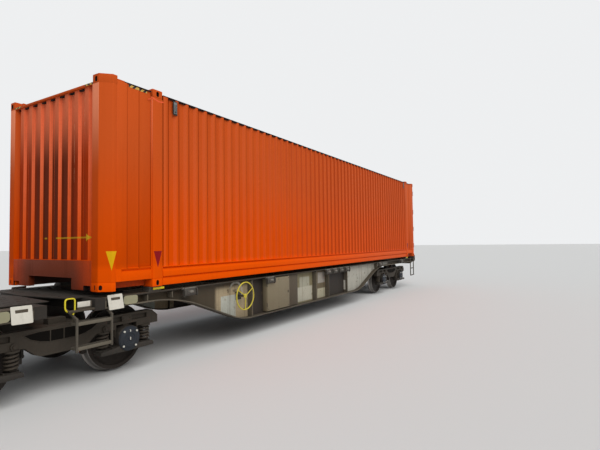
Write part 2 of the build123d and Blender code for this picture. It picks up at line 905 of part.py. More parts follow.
with BuildPart() as roof:
    roof_start = box_front_x + 90
    roof_end = end_panel_x[1]
    with BuildSketch(level(roof_z - 22)):
        with Locations(((roof_start + roof_end) / 2, 0)):
            Rectangle(roof_end - roof_start, 2 * rail_inner_y)
        # Notched round the castings
        for side in (-1, 1):
            with Locations((roof_start, side * rail_inner_y)):
                Rectangle(2 * (casting_length - 90), 2 * (rail_inner_y - front_post_y), mode=Mode.SUBTRACT)
            with Locations(*[(x, side * rail_inner_y) for x in forty_foot_x]):
                Rectangle(casting_length, 2 * (rail_inner_y - casting_inner_y), mode=Mode.SUBTRACT)
    extrude(amount=14)
    with BuildSketch(level(roof_z - 8)):
        with GridLocations((roof_end - roof_start) / ridge_count, 0, ridge_count, 1):
            with Locations(((roof_start + roof_end) / 2, 0)):
                Rectangle(220, 2 * ridge_half_width)
    extrude(amount=14, taper=35)

# Door frame: rear posts, header and sill, with hinge lugs and pins
door_thick = 50
door_outer_x = box_rear_x - 8
door_edge_y = 1190
door_low_z = seat_z + tunnel_height + 36
door_high_z = seat_z + 2768
hinge_x = box_rear_x + 16
hinge_y = 1262
hinge_z = (seat_z + 420, seat_z + 1080, seat_z + 1760, seat_z + 2500)
hinge_pin_radius = 8
hinge_outer_radius = 14
lug_height = 26
blade_height = 90

with BuildPart() as door_frame:
    with BuildSketch(level(post_low_z)):
        with BuildLine():
            Polyline(
                (end_panel_x[1], rail_inner_y - 40),
                (end_panel_x[1], box_half_width),
                (box_rear_x - 42, box_half_width),
                (box_rear_x, box_half_width - 42),
                (box_rear_x, door_edge_y + 8),
                (box_rear_x - 70, door_edge_y + 8),
                (box_rear_x - 70, rail_inner_y - 40),
                close=True,
            )
        make_face()
    extrude(amount=post_high_z - post_low_z)
    for pin_z in hinge_z:
        for lug_z in (pin_z - blade_height / 2 - 8 - lug_height, pin_z + blade_height / 2 + 8):
            with BuildSketch(level(lug_z)):
                with BuildLine():
                    Polyline(
                        (box_rear_x - 20, door_edge_y + 20),
                        (hinge_x + hinge_outer_radius, hinge_y - 20),
                        (hinge_x + hinge_outer_radius, hinge_y + 12),
                        (box_rear_x - 20, hinge_y - 12),
                        close=True,
                    )
                make_face()
            extrude(amount=lug_height)
        with BuildSketch(level(pin_z - blade_height / 2 - 10)):
            with Locations((hinge_x, hinge_y)):
                Circle(hinge_pin_radius)
        extrude(amount=blade_height + 20)
    mirror(about=Plane.XZ)
    with BuildSketch(across(end_panel_x[1])):
        with Locations((0, (door_high_z + 8 + roof_z) / 2)):
            Rectangle(2 * casting_inner_y, roof_z - door_high_z - 8)
        with Locations((0, (seat_z + 10 + door_low_z - 8) / 2)):
            Rectangle(2 * casting_inner_y, door_low_z - 8 - seat_z - 10)
        with Locations((0, (post_low_z + door_low_z - 8) / 2)):
            Rectangle(2 * rail_inner_y - 80, door_low_z - 8 - post_low_z)
    extrude(amount=casting_length - 10)


# Door leaves: rail frame around a panel folded level, with hinge blades
door_meeting_y = 6
door_stile = 100
door_rail = 120
panel_folds = 5
panel_sink = 10
panel_low_z = door_low_z + door_rail
fold_height = (door_high_z - door_low_z - 2 * door_rail) / panel_folds


def door_leaf():
    height = door_high_z - door_low_z
    mid_y = (door_edge_y + door_meeting_y) / 2
    width = door_edge_y - door_meeting_y
    with BuildPart() as leaf:
        with BuildSketch(across(door_outer_x - door_thick)):
            with Locations((mid_y, door_low_z + height / 2)):
                Rectangle(width, height)
                Rectangle(width - 2 * door_stile, height - 2 * door_rail, mode=Mode.SUBTRACT)
        extrude(amount=door_thick)
        outer_x = door_outer_x - panel_sink
        inner_x = door_outer_x - 38
        face = [(outer_x, panel_low_z)]
        for i in range(panel_folds):
            low = panel_low_z + i * fold_height
            face += [
                (outer_x, low + 0.18 * fold_height),
                (inner_x, low + 0.26 * fold_height),
                (inner_x, low + 0.74 * fold_height),
                (outer_x, low + 0.82 * fold_height),
            ]
        face.append((outer_x, panel_low_z + panel_folds * fold_height))
        back = [(x - sheet_thick, z) for x, z in reversed(face)]
        with BuildSketch(along(mid_y)):
            with BuildLine():
                Polyline(*face, *back, close=True)
            make_face()
        extrude(amount=width / 2 - door_stile, both=True)
        for pin_z in hinge_z:
            with BuildSketch(level(pin_z - blade_height / 2)):
                with BuildLine():
                    Polyline(
                        (door_outer_x - 4, door_edge_y - 70),
                        (door_outer_x + 26, door_edge_y - 70),
                        (hinge_x + 10, hinge_y),
                        (hinge_x - 2, hinge_y),
                        (box_rear_x + 7, door_edge_y + 10),
                        (box_rear_x + 7, door_edge_y - 2),
                        (door_outer_x - 4, door_edge_y - 2),
                        close=True,
                    )
                make_face()
                with Locations((hinge_x, hinge_y)):
                    Circle(hinge_outer_radius - 3)
                    Circle(hinge_pin_radius + 0.5, mode=Mode.SUBTRACT)
            extrude(amount=blade_height)
    return leaf.part


door = door_leaf()
save(door, "box_door_left")
save(mirror(door, about=Plane.XZ), "box_door_right")

# Lock rods: two on each leaf, in brackets on the frame and on the panel's outer folds, with handles
rod_y = (330, 890)
rod_x = door_outer_x + 30
rod_radius = 17
bracket_height = 60
panel_outer_x = door_outer_x - panel_sink
rod_brackets = [  # middle height, the face it is fixed to
    (door_low_z + 90, door_outer_x),
    (panel_low_z + fold_height, panel_outer_x),
    (panel_low_z + 3 * fold_height, panel_outer_x),
    (door_high_z - 90, door_outer_x),
]
handle_z = panel_low_z + 2 * fold_height


def lock_rods():
    with BuildPart() as rods:
        for y in rod_y:
            with BuildSketch(level(door_low_z + 20)):
                with Locations((rod_x, y)):
                    RegularPolygon(rod_radius, 10)
            extrude(amount=door_high_z - door_low_z - 40)
            for bracket_z, face_x in rod_brackets:
                with BuildSketch(across(face_x)):
                    with Locations((y, bracket_z)):
                        Rectangle(90, bracket_height)
                extrude(amount=rod_x + 12 - face_x)
            with BuildSketch(across(rod_x + 4)):
                with Locations((y - 110, handle_z)):
                    Rectangle(260, 34)
            extrude(amount=14)
            with BuildSketch(across(panel_outer_x)):
                with Locations((y - 190, handle_z)):
                    Rectangle(50, 90)
            extrude(amount=rod_x + 4 - panel_outer_x)
    return rods.part


rods = lock_rods()
save(rods, "box_lock_rods_left")
save(mirror(rods, about=Plane.XZ), "box_lock_rods_right")

# Ventilators, small hoods high on the side walls
with BuildPart() as vents:
    for vent_x in (box_front_x + 1207, box_rear_x - 1207):
        with BuildSketch(along(box_half_width - 2)):
            with Locations((vent_x, seat_z + 2697)):
                Rectangle(110, 190)
        extrude(amount=-14)
    mirror(about=Plane.XZ)

container_pieces = [
    ("front_wall", front_wall),
    ("front_sill", front_sill),
    ("posts", posts),
    ("castings", castings),
    ("bottom_rails", bottom_rails),
    ("top_rails", top_rails),
    ("floor", floor),
    ("floor_beams", floor_beams),
    ("roof", roof),
    ("door_frame", door_frame),
    ("vents", vents),
]
for label, piece in container_pieces:
    save(piece.part, f"box_{label}")
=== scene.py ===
import math
from itertools import product
import bmesh
import bpy
from mathutils import Matrix, Vector


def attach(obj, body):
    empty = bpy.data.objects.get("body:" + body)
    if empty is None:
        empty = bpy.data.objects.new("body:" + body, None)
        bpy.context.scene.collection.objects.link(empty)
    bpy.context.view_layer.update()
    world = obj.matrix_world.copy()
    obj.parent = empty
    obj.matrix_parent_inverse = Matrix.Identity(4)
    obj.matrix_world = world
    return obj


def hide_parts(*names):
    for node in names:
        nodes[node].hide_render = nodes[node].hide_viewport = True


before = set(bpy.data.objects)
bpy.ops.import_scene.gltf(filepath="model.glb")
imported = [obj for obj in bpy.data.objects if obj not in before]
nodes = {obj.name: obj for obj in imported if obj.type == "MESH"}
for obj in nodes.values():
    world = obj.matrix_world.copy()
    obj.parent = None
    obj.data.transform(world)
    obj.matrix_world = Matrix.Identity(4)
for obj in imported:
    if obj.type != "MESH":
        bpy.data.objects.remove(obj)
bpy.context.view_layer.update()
scene = bpy.context.scene


# ---- Where it is seen from: the standing photographer's place beside the middle bogie, looking
# along the loaded platform with a wide lens.
camera_at = Vector((-3.042, -6.31, 1.803))
yaw, pitch, roll = math.radians(31.19), math.radians(2.26), math.radians(-0.75)
forward = Vector((math.cos(yaw) * math.cos(pitch), math.sin(yaw) * math.cos(pitch), math.sin(pitch)))
level_right = forward.cross(Vector((0, 0, 1))).normalized()
level_up = level_right.cross(forward)
right = level_right * math.cos(roll) + level_up * math.sin(roll)
up = level_up * math.cos(roll) - level_right * math.sin(roll)
camera = bpy.data.objects.new("camera", bpy.data.cameras.new("camera"))
scene.collection.objects.link(camera)
camera.matrix_world = Matrix.Translation(camera_at) @ Matrix((right, up, -forward)).transposed().to_4x4()
camera.data.sensor_width = 36.0
camera.data.lens = 25.75
camera.data.clip_end = 400.0
scene.camera = camera


# ---- Studio: a pale floor, an even pale sky and one wide soft lamp from above on the camera's side.
def node(tree, kind, values=None, **settings):
    """A shader node with its sockets and its settings filled in."""
    made = tree.nodes.new(kind)
    for key, value in settings.items():
        setattr(made, key, value)
    for key, value in (values or {}).items():
        if isinstance(value, bpy.types.NodeSocket):
            tree.links.new(value, made.inputs[key])
        else:
            made.inputs[key].default_value = value
    return made


def sums(tree, operation, first, second=0.0, third=0.0, clamp=False):
    """A Math node's output, from sockets or numbers."""
    values = {0: first, 1: second, 2: third}
    return node(tree, "ShaderNodeMath", values, operation=operation, use_clamp=clamp).outputs[0]


def mixed(tree, factor, first, second):
    """A colour Mix node's output."""
    values = {0: factor, 6: first, 7: second}
    return node(tree, "ShaderNodeMix", values, data_type="RGBA").outputs[2]


def noise(tree, place=None, scale=1.0, detail=3.0, roughness=0.5):
    """A noise texture's value, at the given place."""
    values = {"Scale": scale, "Detail": detail, "Roughness": roughness}
    if place:
        values["Vector"] = place
    return node(tree, "ShaderNodeTexNoise", values).outputs[0]


def shade(red, green, blue):
    """A colour as a screen shows it, 0 to 255, for a shader's socket."""
    shares = [value / 255 for value in (red, green, blue)]
    return (*[c / 12.92 if c <= 0.04045 else ((c + 0.055) / 1.055) ** 2.4 for c in shares], 1.0)


def blank_material(name):
    """A material with an empty node tree."""
    material = bpy.data.materials.new(name)
    material.use_nodes = True
    material.node_tree.nodes.clear()
    return material, material.node_tree


floor_material, tree = blank_material("studio_floor")
floor_tone = mixed(tree, noise(tree, scale=0.35), shade(214, 215, 215), shade(222, 222, 221))
floor_shader = node(tree, "ShaderNodeBsdfPrincipled", {"Base Color": floor_tone, "Roughness": 0.85})
node(tree, "ShaderNodeOutputMaterial", {"Surface": floor_shader.outputs[0]})
floor_mesh = bpy.data.meshes.new("studio_floor")
bm = bmesh.new()
bmesh.ops.create_grid(bm, x_segments=1, y_segments=1, size=160.0)
bm.to_mesh(floor_mesh)
bm.free()
floor_mesh.materials.append(floor_material)
studio_floor = bpy.data.objects.new("studio_floor", floor_mesh)
scene.collection.objects.link(studio_floor)

sky = bpy.data.worlds.new("studio_sky")
sky.use_nodes = True
tree = sky.node_tree
tree.nodes.clear()
rays = node(tree, "ShaderNodeLightPath").outputs
seen = sums(tree, "MAXIMUM", sums(tree, "MAXIMUM", rays["Is Camera Ray"], rays["Is Glossy Ray"]),
            rays["Is Transmission Ray"])
lit = node(tree, "ShaderNodeBackground", {"Color": (0.93, 0.96, 1.0, 1.0), "Strength": 0.32})
pale = node(tree, "ShaderNodeBackground", {"Color": (0.90, 0.91, 0.92, 1.0), "Strength": 0.95})
both = node(tree, "ShaderNodeMixShader", {0: seen, 1: lit.outputs[0], 2: pale.outputs[0]})
node(tree, "ShaderNodeOutputWorld", {"Surface": both.outputs[0]})
scene.world = sky

lamp = bpy.data.objects.new("soft_lamp", bpy.data.lights.new("soft_lamp", "SUN"))
lamp.data.energy = 2.4
lamp.data.angle = math.radians(60)
lamp.data.color = (1.0, 0.985, 0.96)
lamp.rotation_euler = Vector((0.26, 0.62, -0.74)).to_track_quat("-Z", "Y").to_euler()
scene.collection.objects.link(lamp)
scene.view_settings.view_transform = "Standard"


# ---- Wheelsets: solid forged wheels pressed on an axle. The tread is rolled bright, the rest is
# brown with rust and brake dust.
def ramp(tree, value, start, end, low=0.0, high=1.0):
    """A smooth step from low to high as the value goes from start to end."""
    values = {"Value": value, 1: start, 2: end, 3: low, 4: high}
    return node(tree, "ShaderNodeMapRange", values, interpolation_type="SMOOTHSTEP").outputs[0]


def times(tree, first, *others):
    """The product of sockets or numbers."""
    for other in others:
        first = sums(tree, "MULTIPLY", first, other)
    return first


def less(tree, first, second):
    """The difference of sockets or numbers."""
    return sums(tree, "SUBTRACT", first, second)


def stretched(tree, place, scale):
    """The place with its three axes scaled."""
    return node(tree, "ShaderNodeMapping", {"Vector": place, "Scale": scale}).outputs[0]


def object_place(tree):
    """The Object coordinates: whole, and as their X, Y and Z sockets."""
    place = node(tree, "ShaderNodeTexCoord").outputs["Object"]
    return place, node(tree, "ShaderNodeSeparateXYZ", {0: place}).outputs


def worn_group():
    """Paint or metal under grime: patches, runs down the face, splash near the ground, rust spots."""
    group = bpy.data.node_groups.new("worn_surface", "ShaderNodeTree")
    numbers = {"Cover": 0.2, "Runs": 0.2, "Splash": 0.3, "Foot": 0.3, "Top": 1.2, "Spots": 0.0, "Gloss": 0.5}
    for name in ("Clean", "Grime", "Rust"):
        group.interface.new_socket(name, in_out="INPUT", socket_type="NodeSocketColor")
    for name, value in numbers.items():
        group.interface.new_socket(name, in_out="INPUT", socket_type="NodeSocketFloat").default_value = value
    for name, kind in (("Color", "Color"), ("Roughness", "Float"), ("Height", "Float")):
        group.interface.new_socket(name, in_out="OUTPUT", socket_type=f"NodeSocket{kind}")
    given = node(group, "NodeGroupInput").outputs
    place, split = object_place(group)
    big = noise(group, place, 1.3, 7.0, 0.62)
    fine = noise(group, place, 34.0, 6.0, 0.7)
    streak = noise(group, stretched(group, place, (11.0, 11.0, 0.55)), 1.0, 6.0, 0.65)
    spots = noise(group, place, 9.0, 10.0, 0.72)
    patch = sums(group, "MULTIPLY_ADD", ramp(group, big, 0.38, 0.66), 0.6,
                 times(group, ramp(group, fine, 0.3, 0.7), 0.4))
    runs = times(group, ramp(group, streak, 0.5, 0.74), given["Runs"])
    wavy = sums(group, "MULTIPLY_ADD", less(group, big, 0.5), 0.9, split[2])
    rise = node(group, "ShaderNodeMapRange", {0: wavy, 1: given["Top"], 2: given["Foot"]}).outputs[0]
    cover = times(group, patch, given["Cover"])
    splash = times(group, sums(group, "MULTIPLY_ADD", patch, 0.5, 0.5), times(group, rise, given["Splash"]))
    mask = sums(group, "ADD", sums(group, "ADD", cover, runs), splash, clamp=True)
    toned = node(group, "ShaderNodeHueSaturation",
                 {"Color": given["Clean"], "Value": ramp(group, big, 0.2, 0.8, 0.94, 1.05)}).outputs[0]
    grime_and_shade = node(group, "ShaderNodeHueSaturation",
                  {"Color": given["Grime"], "Value": ramp(group, fine, 0.2, 0.8, 0.8, 1.25)}).outputs[0]
    dirty = mixed(group, mask, toned, grime_and_shade)
    edge = less(group, 0.8, times(group, given["Spots"], 0.3))
    rusted = ramp(group, less(group, spots, edge), 0.0, 0.05)
    rusty = mixed(group, rusted, dirty, given["Rust"])
    rough = sums(group, "MULTIPLY_ADD", mask, less(group, 0.88, given["Gloss"]), given["Gloss"])
    rough = sums(group, "MAXIMUM", rough, times(group, rusted, 0.9))
    rough = sums(group, "MULTIPLY_ADD", less(group, fine, 0.5), 0.12, rough, clamp=True)
    relief = sums(group, "MULTIPLY_ADD", times(group, fine, sums(group, "ADD", mask, 0.25)), 1.0, rusted)
    node(group, "NodeGroupOutput", {"Color": rusty, "Roughness": rough, "Height": relief})
    return group


worn_surface = worn_group()


def finish(name, clean, grime, rust=(96, 52, 30), bump=0.0006, metallic=0.0, specular=0.3,
           colour_from=None, **values):
    """A worn surface as a material. colour_from(tree) may give the clean colour as a socket."""
    material, tree = blank_material(name)
    worn = tree.nodes.new("ShaderNodeGroup")
    worn.node_tree = worn_surface
    for key, colour in (("Clean", clean), ("Grime", grime), ("Rust", rust)):
        worn.inputs[key].default_value = shade(*colour)
    for key, value in values.items():
        worn.inputs[key.capitalize()].default_value = value
    if colour_from:
        tree.links.new(colour_from(tree), worn.inputs["Clean"])
    relief = node(tree, "ShaderNodeBump", {"Height": worn.outputs["Height"], "Distance": bump, "Strength": 0.8})
    shader = node(tree, "ShaderNodeBsdfPrincipled", {
        "Base Color": worn.outputs["Color"], "Roughness": worn.outputs["Roughness"],
        "Metallic": metallic, "Specular IOR Level": specular, "Normal": relief.outputs[0]})
    node(tree, "ShaderNodeOutputMaterial", {"Surface": shader.outputs[0]})
    return material


def spot(axis, along, first, second):
    """A point, from its place along an axis and its places in the other two."""
    return {"X": (along, first, second), "Y": (first, along, second), "Z": (first, second, along)}[axis]


def coat(faces, material):
    """Faces given a material, by its number in the piece's list."""
    for face in faces:
        face.material_index = material


def linked(verts, kind):
    """The faces or the edges that touch the verts."""
    return {link for vert in verts for link in getattr(vert, f"link_{kind}")}


def rounding(bm, geom, width, steps, affect="EDGES"):
    """Edges or corners rounded off."""
    bmesh.ops.bevel(bm, geom=list(geom), offset=width, segments=steps, profile=0.5, affect=affect, material=-1)


def swept(bm, faces, shift):
    """Faces carried along by a shift. Returns what that made, and its verts."""
    made = bmesh.ops.extrude_face_region(bm, geom=faces)["geom"]
    verts = [item for item in made if isinstance(item, bmesh.types.BMVert)]
    bmesh.ops.translate(bm, verts=verts, vec=shift)
    return made, verts


def block(bm, low, high, edge=0.0, material=0, steps=2):
    """A box from corner to corner, with rounded edges."""
    low, high = Vector(low), Vector(high)
    place = Matrix.Translation((low + high) / 2) @ Matrix.Diagonal((*(high - low), 1.0))
    made = bmesh.ops.create_cube(bm, size=1.0, matrix=place)["verts"]
    coat(linked(made, "faces"), material)
    if edge:
        rounding(bm, linked(made, "edges"), edge, steps)


def slab(bm, x, half, ys, zs, edge=0.0, **looks):
    """A box centred on x, between two y and two z."""
    block(bm, (x - half, ys[0], zs[0]), (x + half, ys[1], zs[1]), edge, **looks)


def rod(bm, start, end, radius, far=None, sides=16, material=0):
    """A round bar between two points, tapered if far is given."""
    start, end = Vector(start), Vector(end)
    turn = (end - start).to_track_quat("Z", "Y").to_matrix().to_4x4()
    made = bmesh.ops.create_cone(bm, cap_ends=True, segments=sides, radius1=radius,
                                 radius2=radius if far is None else far, depth=(end - start).length,
                                 matrix=Matrix.Translation((start + end) / 2) @ turn)["verts"]
    coat(linked(made, "faces"), material)


def bars(bm, axis, spots, start, end, radius, sides=6, **looks):
    """Bars or bolt heads along an axis, one at each spot in the other two axes."""
    for first, second in spots:
        rod(bm, spot(axis, start, first, second), spot(axis, end, first, second), radius, sides=sides, **looks)


def plate(bm, outline, axis, start, end, edge=0.0, material=0, steps=1):
    """A flat plate: an outline in the other two axes, from start to end along axis."""
    face = bm.faces.new([bm.verts.new(spot(axis, start, *pair)) for pair in outline])
    face.material_index = material
    verts = swept(bm, [face], spot(axis, end - start, 0.0, 0.0))[1]
    sides = linked(verts, "faces")
    coat(sides, material)
    if edge:
        rounding(bm, {link for item in sides for link in item.edges}, edge, steps)


def turned(bm, outline, centre, axis, steps=48, material=0):
    """A turned part: an outline of (along the axis, radius) spun about the axis through centre."""
    side = Vector((1, 0, 0)) if axis == "Z" else Vector((0, 0, 1))
    line = Vector(spot(axis, 1.0, 0.0, 0.0))
    verts = [bm.verts.new(Vector(centre) + line * along + side * radius) for along, radius in outline]
    edges = [bm.edges.new(pair) for pair in zip(verts, verts[1:])]
    before = set(bm.faces)
    bmesh.ops.spin(bm, geom=verts + edges, cent=centre, axis=line, dvec=(0, 0, 0), angle=math.tau,
                   steps=steps, use_merge=True, use_duplicate=False)
    coat(set(bm.faces) - before, material)


def both_sides(bm, gap=0.00001):
    """What is made on one side of the wagon, mirrored to the other as well."""
    bmesh.ops.mirror(bm, geom=[*bm.verts, *bm.edges, *bm.faces], axis="Y", merge_dist=gap)


def piece(name, bm, body, materials, slot, stands_for=(), sharp=38):
    """The finished object: doubles merged, normals outward, smooth but for sharp edges."""
    bmesh.ops.remove_doubles(bm, verts=bm.verts, dist=0.00005)
    bmesh.ops.dissolve_degenerate(bm, dist=0.00001, edges=bm.edges)
    bmesh.ops.recalc_face_normals(bm, faces=bm.faces)
    mesh = bpy.data.meshes.new(name)
    bm.to_mesh(mesh)
    mesh.shade_smooth()
    mesh.set_sharp_from_angle(angle=math.radians(sharp))
    for material in materials:
        mesh.materials.append(material)
    made = bpy.data.objects.new(name, mesh)
    scene.collection.objects.link(made)
    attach(made, body)
    if stands_for:
        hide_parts(*stands_for)


pivots = (-11.995, 0.0, 11.995)
axle_z = 0.488
half_wheelbase = 0.9
wheel_brown = finish("wheel_brown", (54, 47, 42), (40, 34, 29), rust=(92, 52, 32), cover=0.7, runs=0.1,
                     splash=0.3, spots=0.25, gloss=0.6)
tread_steel = finish("tread_steel", (150, 146, 142), (92, 80, 70), metallic=0.9, cover=0.25, runs=0.0,
                     splash=0.0, spots=0.0, gloss=0.28, bump=0.0002)
half_wheelset = [  # distance from the middle of the axle, radius
    (0.0, 0.080), (0.560, 0.080), (0.610, 0.088), (0.640, 0.098), (0.642, 0.122), (0.650, 0.130),
    (0.672, 0.140), (0.700, 0.165), (0.728, 0.215), (0.738, 0.270), (0.732, 0.330), (0.712, 0.375),
    (0.690, 0.400), (0.681, 0.412), (0.680, 0.470), (0.682, 0.480), (0.687, 0.486), (0.694, 0.4878),
    (0.700, 0.486), (0.706, 0.479), (0.711, 0.468), (0.720, 0.4615), (0.735, 0.4598), (0.811, 0.4568),
    (0.815, 0.4525), (0.815, 0.410), (0.811, 0.402), (0.792, 0.396), (0.772, 0.372), (0.762, 0.330),
    (0.764, 0.250), (0.776, 0.190), (0.794, 0.155), (0.812, 0.142), (0.834, 0.138), (0.838, 0.132),
    (0.838, 0.100), (0.842, 0.092), (0.880, 0.090), (0.905, 0.072), (0.915, 0.065), (1.096, 0.065),
    (1.100, 0.061), (1.100, 0.0)]
tread_start, tread_end, tread_reach = 0.700, 0.814, 0.44
for number in range(6):
    axle_x = pivots[number // 2] + (half_wheelbase if number % 2 else -half_wheelbase)
    bm = bmesh.new()
    turned(bm, half_wheelset, (axle_x, 0, axle_z), "Y", steps=72)
    both_sides(bm, 0.0001)
    for face in bm.faces:
        middle = face.calc_center_median()
        reach = math.hypot(middle.x - axle_x, middle.z - axle_z)
        if tread_start < abs(middle.y) < tread_end and reach > tread_reach:
            face.material_index = 1
    piece(f"wheelset_{number + 1}_forged", bm, f"wheelset_{number + 1}", [wheel_brown, tread_steel],
          "wheel_steel", [f"wheelset_{number + 1}"])


# ---- Bogie frames: welded steel side frames and bolster, brown with brake dust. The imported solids
# stay, with their edges softened; the liners, stops, damper caps and weld-on plates are added.
def soften(name, width, material):
    """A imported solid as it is, with a new finish and its edges rounded."""
    weld = nodes[name].modifiers.new("weld", "WELD")
    weld.merge_threshold = 0.0001
    bevel = nodes[name].modifiers.new("rounding", "BEVEL")
    bevel.width = width
    bevel.segments = 2
    bevel.limit_method = "ANGLE"
    bevel.angle_limit = math.radians(40)
    bevel.harden_normals = False
    for holder in nodes[name].material_slots:
        holder.material = material


def bogie_piece(name, bm, materials, slot, node_ending=None):
    """The same piece on all three bogies, from a bmesh made about the middle pivot."""
    for number, pivot_x in enumerate(pivots, start=1):
        own = bm.copy()
        bmesh.ops.translate(own, verts=own.verts, vec=(pivot_x, 0, 0))
        stands_for = [f"bogie_{number}_{node_ending}"] if node_ending else []
        piece(f"bogie_{number}_{name}", own, f"bogie_{number}", materials, slot, stands_for)
    bm.free()


bogie_brown = finish("bogie_brown", (56, 49, 40), (42, 36, 29), rust=(98, 58, 36), cover=0.6, runs=0.25,
                     splash=0.35, foot=0.2, top=0.9, spots=0.35, gloss=0.62)
bogie_dark = finish("bogie_dark", (42, 38, 34), (56, 50, 43), rust=(92, 54, 34), cover=0.45, runs=0.1,
                    splash=0.2, spots=0.3, gloss=0.6)
window_shade = finish("window_shade", (16, 14, 12), (26, 22, 18), cover=0.3, runs=0.0, splash=0.1, gloss=0.8,
                     specular=0.05)
frame_face_y, spring_y, spring_offset = 1.045, 0.990, 0.335
for number in (1, 2, 3):
    soften(f"bogie_{number}_frame", 0.005, bogie_brown)
bm = bmesh.new()
for end in (-1, 1):
    axle_x = end * half_wheelbase
    for offset in (-0.176, 0.176):
        # Guide liners beside the box
        slab(bm, axle_x + offset, 0.008, (0.935, 1.040), (0.520, 0.686), 0.003)
    for offset in (-spring_offset, spring_offset):
        # Upper spring seat with its ring, under the frame
        bars(bm, "Z", [(axle_x + offset, spring_y)], 0.605, 0.628, 0.088, sides=32)
        bars(bm, "Z", [(axle_x + offset, spring_y)], 0.585, 0.606, 0.046, sides=24)
    # Damper cap with its link's pin, standing out of the frame over the inner spring
    cap = [(axle_x - end * spring_offset, 0.668)]
    bars(bm, "Y", cap, frame_face_y - 0.006, frame_face_y + 0.020, 0.040, sides=20)
    bars(bm, "Y", cap, frame_face_y + 0.018, frame_face_y + 0.036, 0.020, sides=12)
    # Stop above the box, and the plate welded over the end of the frame
    slab(bm, axle_x, 0.045, (0.950, 1.030), (0.655, 0.690), 0.005)
    slab(bm, axle_x, 0.080, (frame_face_y - 0.002, frame_face_y + 0.008), (0.726, 0.802), 0.003)
    bars(bm, "Y", [(axle_x - 0.055, 0.764), (axle_x + 0.055, 0.764)], frame_face_y + 0.006,
         frame_face_y + 0.020, 0.012)
# Lattice of the side frame: a cover plate, a dark plate as painted shade for the window's opening, a flange round it,
# three ribs
window = [(-0.467, 0.773), (-0.38, 0.708), (-0.27, 0.668), (-0.16, 0.650), (0.16, 0.650), (0.27, 0.668),
          (0.38, 0.708), (0.467, 0.773), (0.30, 0.790), (-0.30, 0.790)]
cover = [(-0.31, 0.535), (0.31, 0.535), (0.31, 0.660), (0.27, 0.668), (0.16, 0.652), (-0.16, 0.652),
         (-0.27, 0.668), (-0.31, 0.660)]
plate(bm, cover, "Y", frame_face_y - 0.006, frame_face_y + 0.0008, edge=0.0003)
plate(bm, window, "Y", frame_face_y - 0.004, frame_face_y + 0.0015, edge=0.0005, material=1)
for first, second in zip(window, window[1:] + window[:1]):
    rod(bm, spot("Y", frame_face_y, *first), spot("Y", frame_face_y, *second), 0.006, sides=8)
for rib_x in (-0.159, 0.006, 0.159):
    slab(bm, rib_x, 0.006, (frame_face_y - 0.002, frame_face_y + 0.006), (0.648, 0.792), 0.001)
# Side bearer's wear plate on the bolster, with its bolts
slab(bm, 0.0, 0.105, (0.800, 0.900), (0.826, 0.842), 0.004)
bars(bm, "Z", product((-0.085, 0.085), (0.812, 0.888)), 0.840, 0.856, 0.011)
# Weld beads where the bolster meets the side frame
bars(bm, "X", [(0.933, 0.650), (0.933, 0.826)], -0.268, 0.268, 0.006, sides=8)
both_sides(bm)
bogie_piece("frame_fittings", bm, [bogie_brown, window_shade], "bogie_brown")


# ---- Axleboxes: cast housings with a wing under each spring, and a dark blue cover held by bolts
# that are touched with white paint.
cover_blue = finish("cover_blue", (26, 34, 46), (42, 41, 38), cover=0.35, runs=0.1, splash=0.2, gloss=0.5)
mark_white = finish("mark_white", (212, 210, 200), (120, 112, 98), cover=0.2, runs=0.1, splash=0.1, gloss=0.6)
half_box = [(0.060, 0.170), (0.120, 0.142), (0.164, 0.092), (0.164, -0.020), (0.142, -0.080),
            (0.200, -0.098), (0.412, -0.110), (0.425, -0.122), (0.425, -0.160), (0.412, -0.166),
            (0.130, -0.168), (0.070, -0.172)]
box_outline = half_box + [(-x, z) for x, z in reversed(half_box)]
box_cover = [(1.098, 0.0), (1.098, 0.166), (1.106, 0.170), (1.111, 0.167), (1.112, 0.160), (1.120, 0.156),
             (1.124, 0.120), (1.133, 0.110), (1.134, 0.076), (1.128, 0.070), (1.128, 0.030), (1.1345, 0.026),
             (1.1345, 0.0)]
bolt_angles, bolt_reach = [math.radians(41 + 90 * step) for step in range(4)], 0.140
bm = bmesh.new()
for end in (-1, 1):
    axle_x = end * half_wheelbase
    plate(bm, [(axle_x + x, axle_z + z) for x, z in box_outline], "Y", 0.927, 1.100, edge=0.006, steps=2)
    # Ribs on the wings, and the ring that each spring stands in
    for side in (-1, 1):
        bars(bm, "Z", [(axle_x + side * spring_offset, spring_y)], 0.372, 0.390, 0.086, far=0.082, sides=32)
        slab(bm, axle_x + side * 0.232, 0.008, (0.940, 1.070), (0.335, 0.404), 0.003)
    turned(bm, box_cover, (axle_x, 0, axle_z), "Y", steps=40, material=1)
    bars(bm, "Y", [(axle_x + bolt_reach * math.cos(a), axle_z + bolt_reach * math.sin(a)) for a in bolt_angles],
         1.110, 1.134, 0.0145, material=2)
    # White paint marks on the rim of the cap and above it
    slab(bm, axle_x, 0.007, (1.130, 1.1355), (axle_z - 0.020, axle_z + 0.022), 0.002, material=2)
    slab(bm, axle_x, 0.007, (1.118, 1.1345), (axle_z + 0.092, axle_z + 0.122), 0.002, material=2)
both_sides(bm)
bogie_piece("axlebox_castings", bm, [bogie_dark, cover_blue, mark_white], "bogie_brown", "axleboxes")


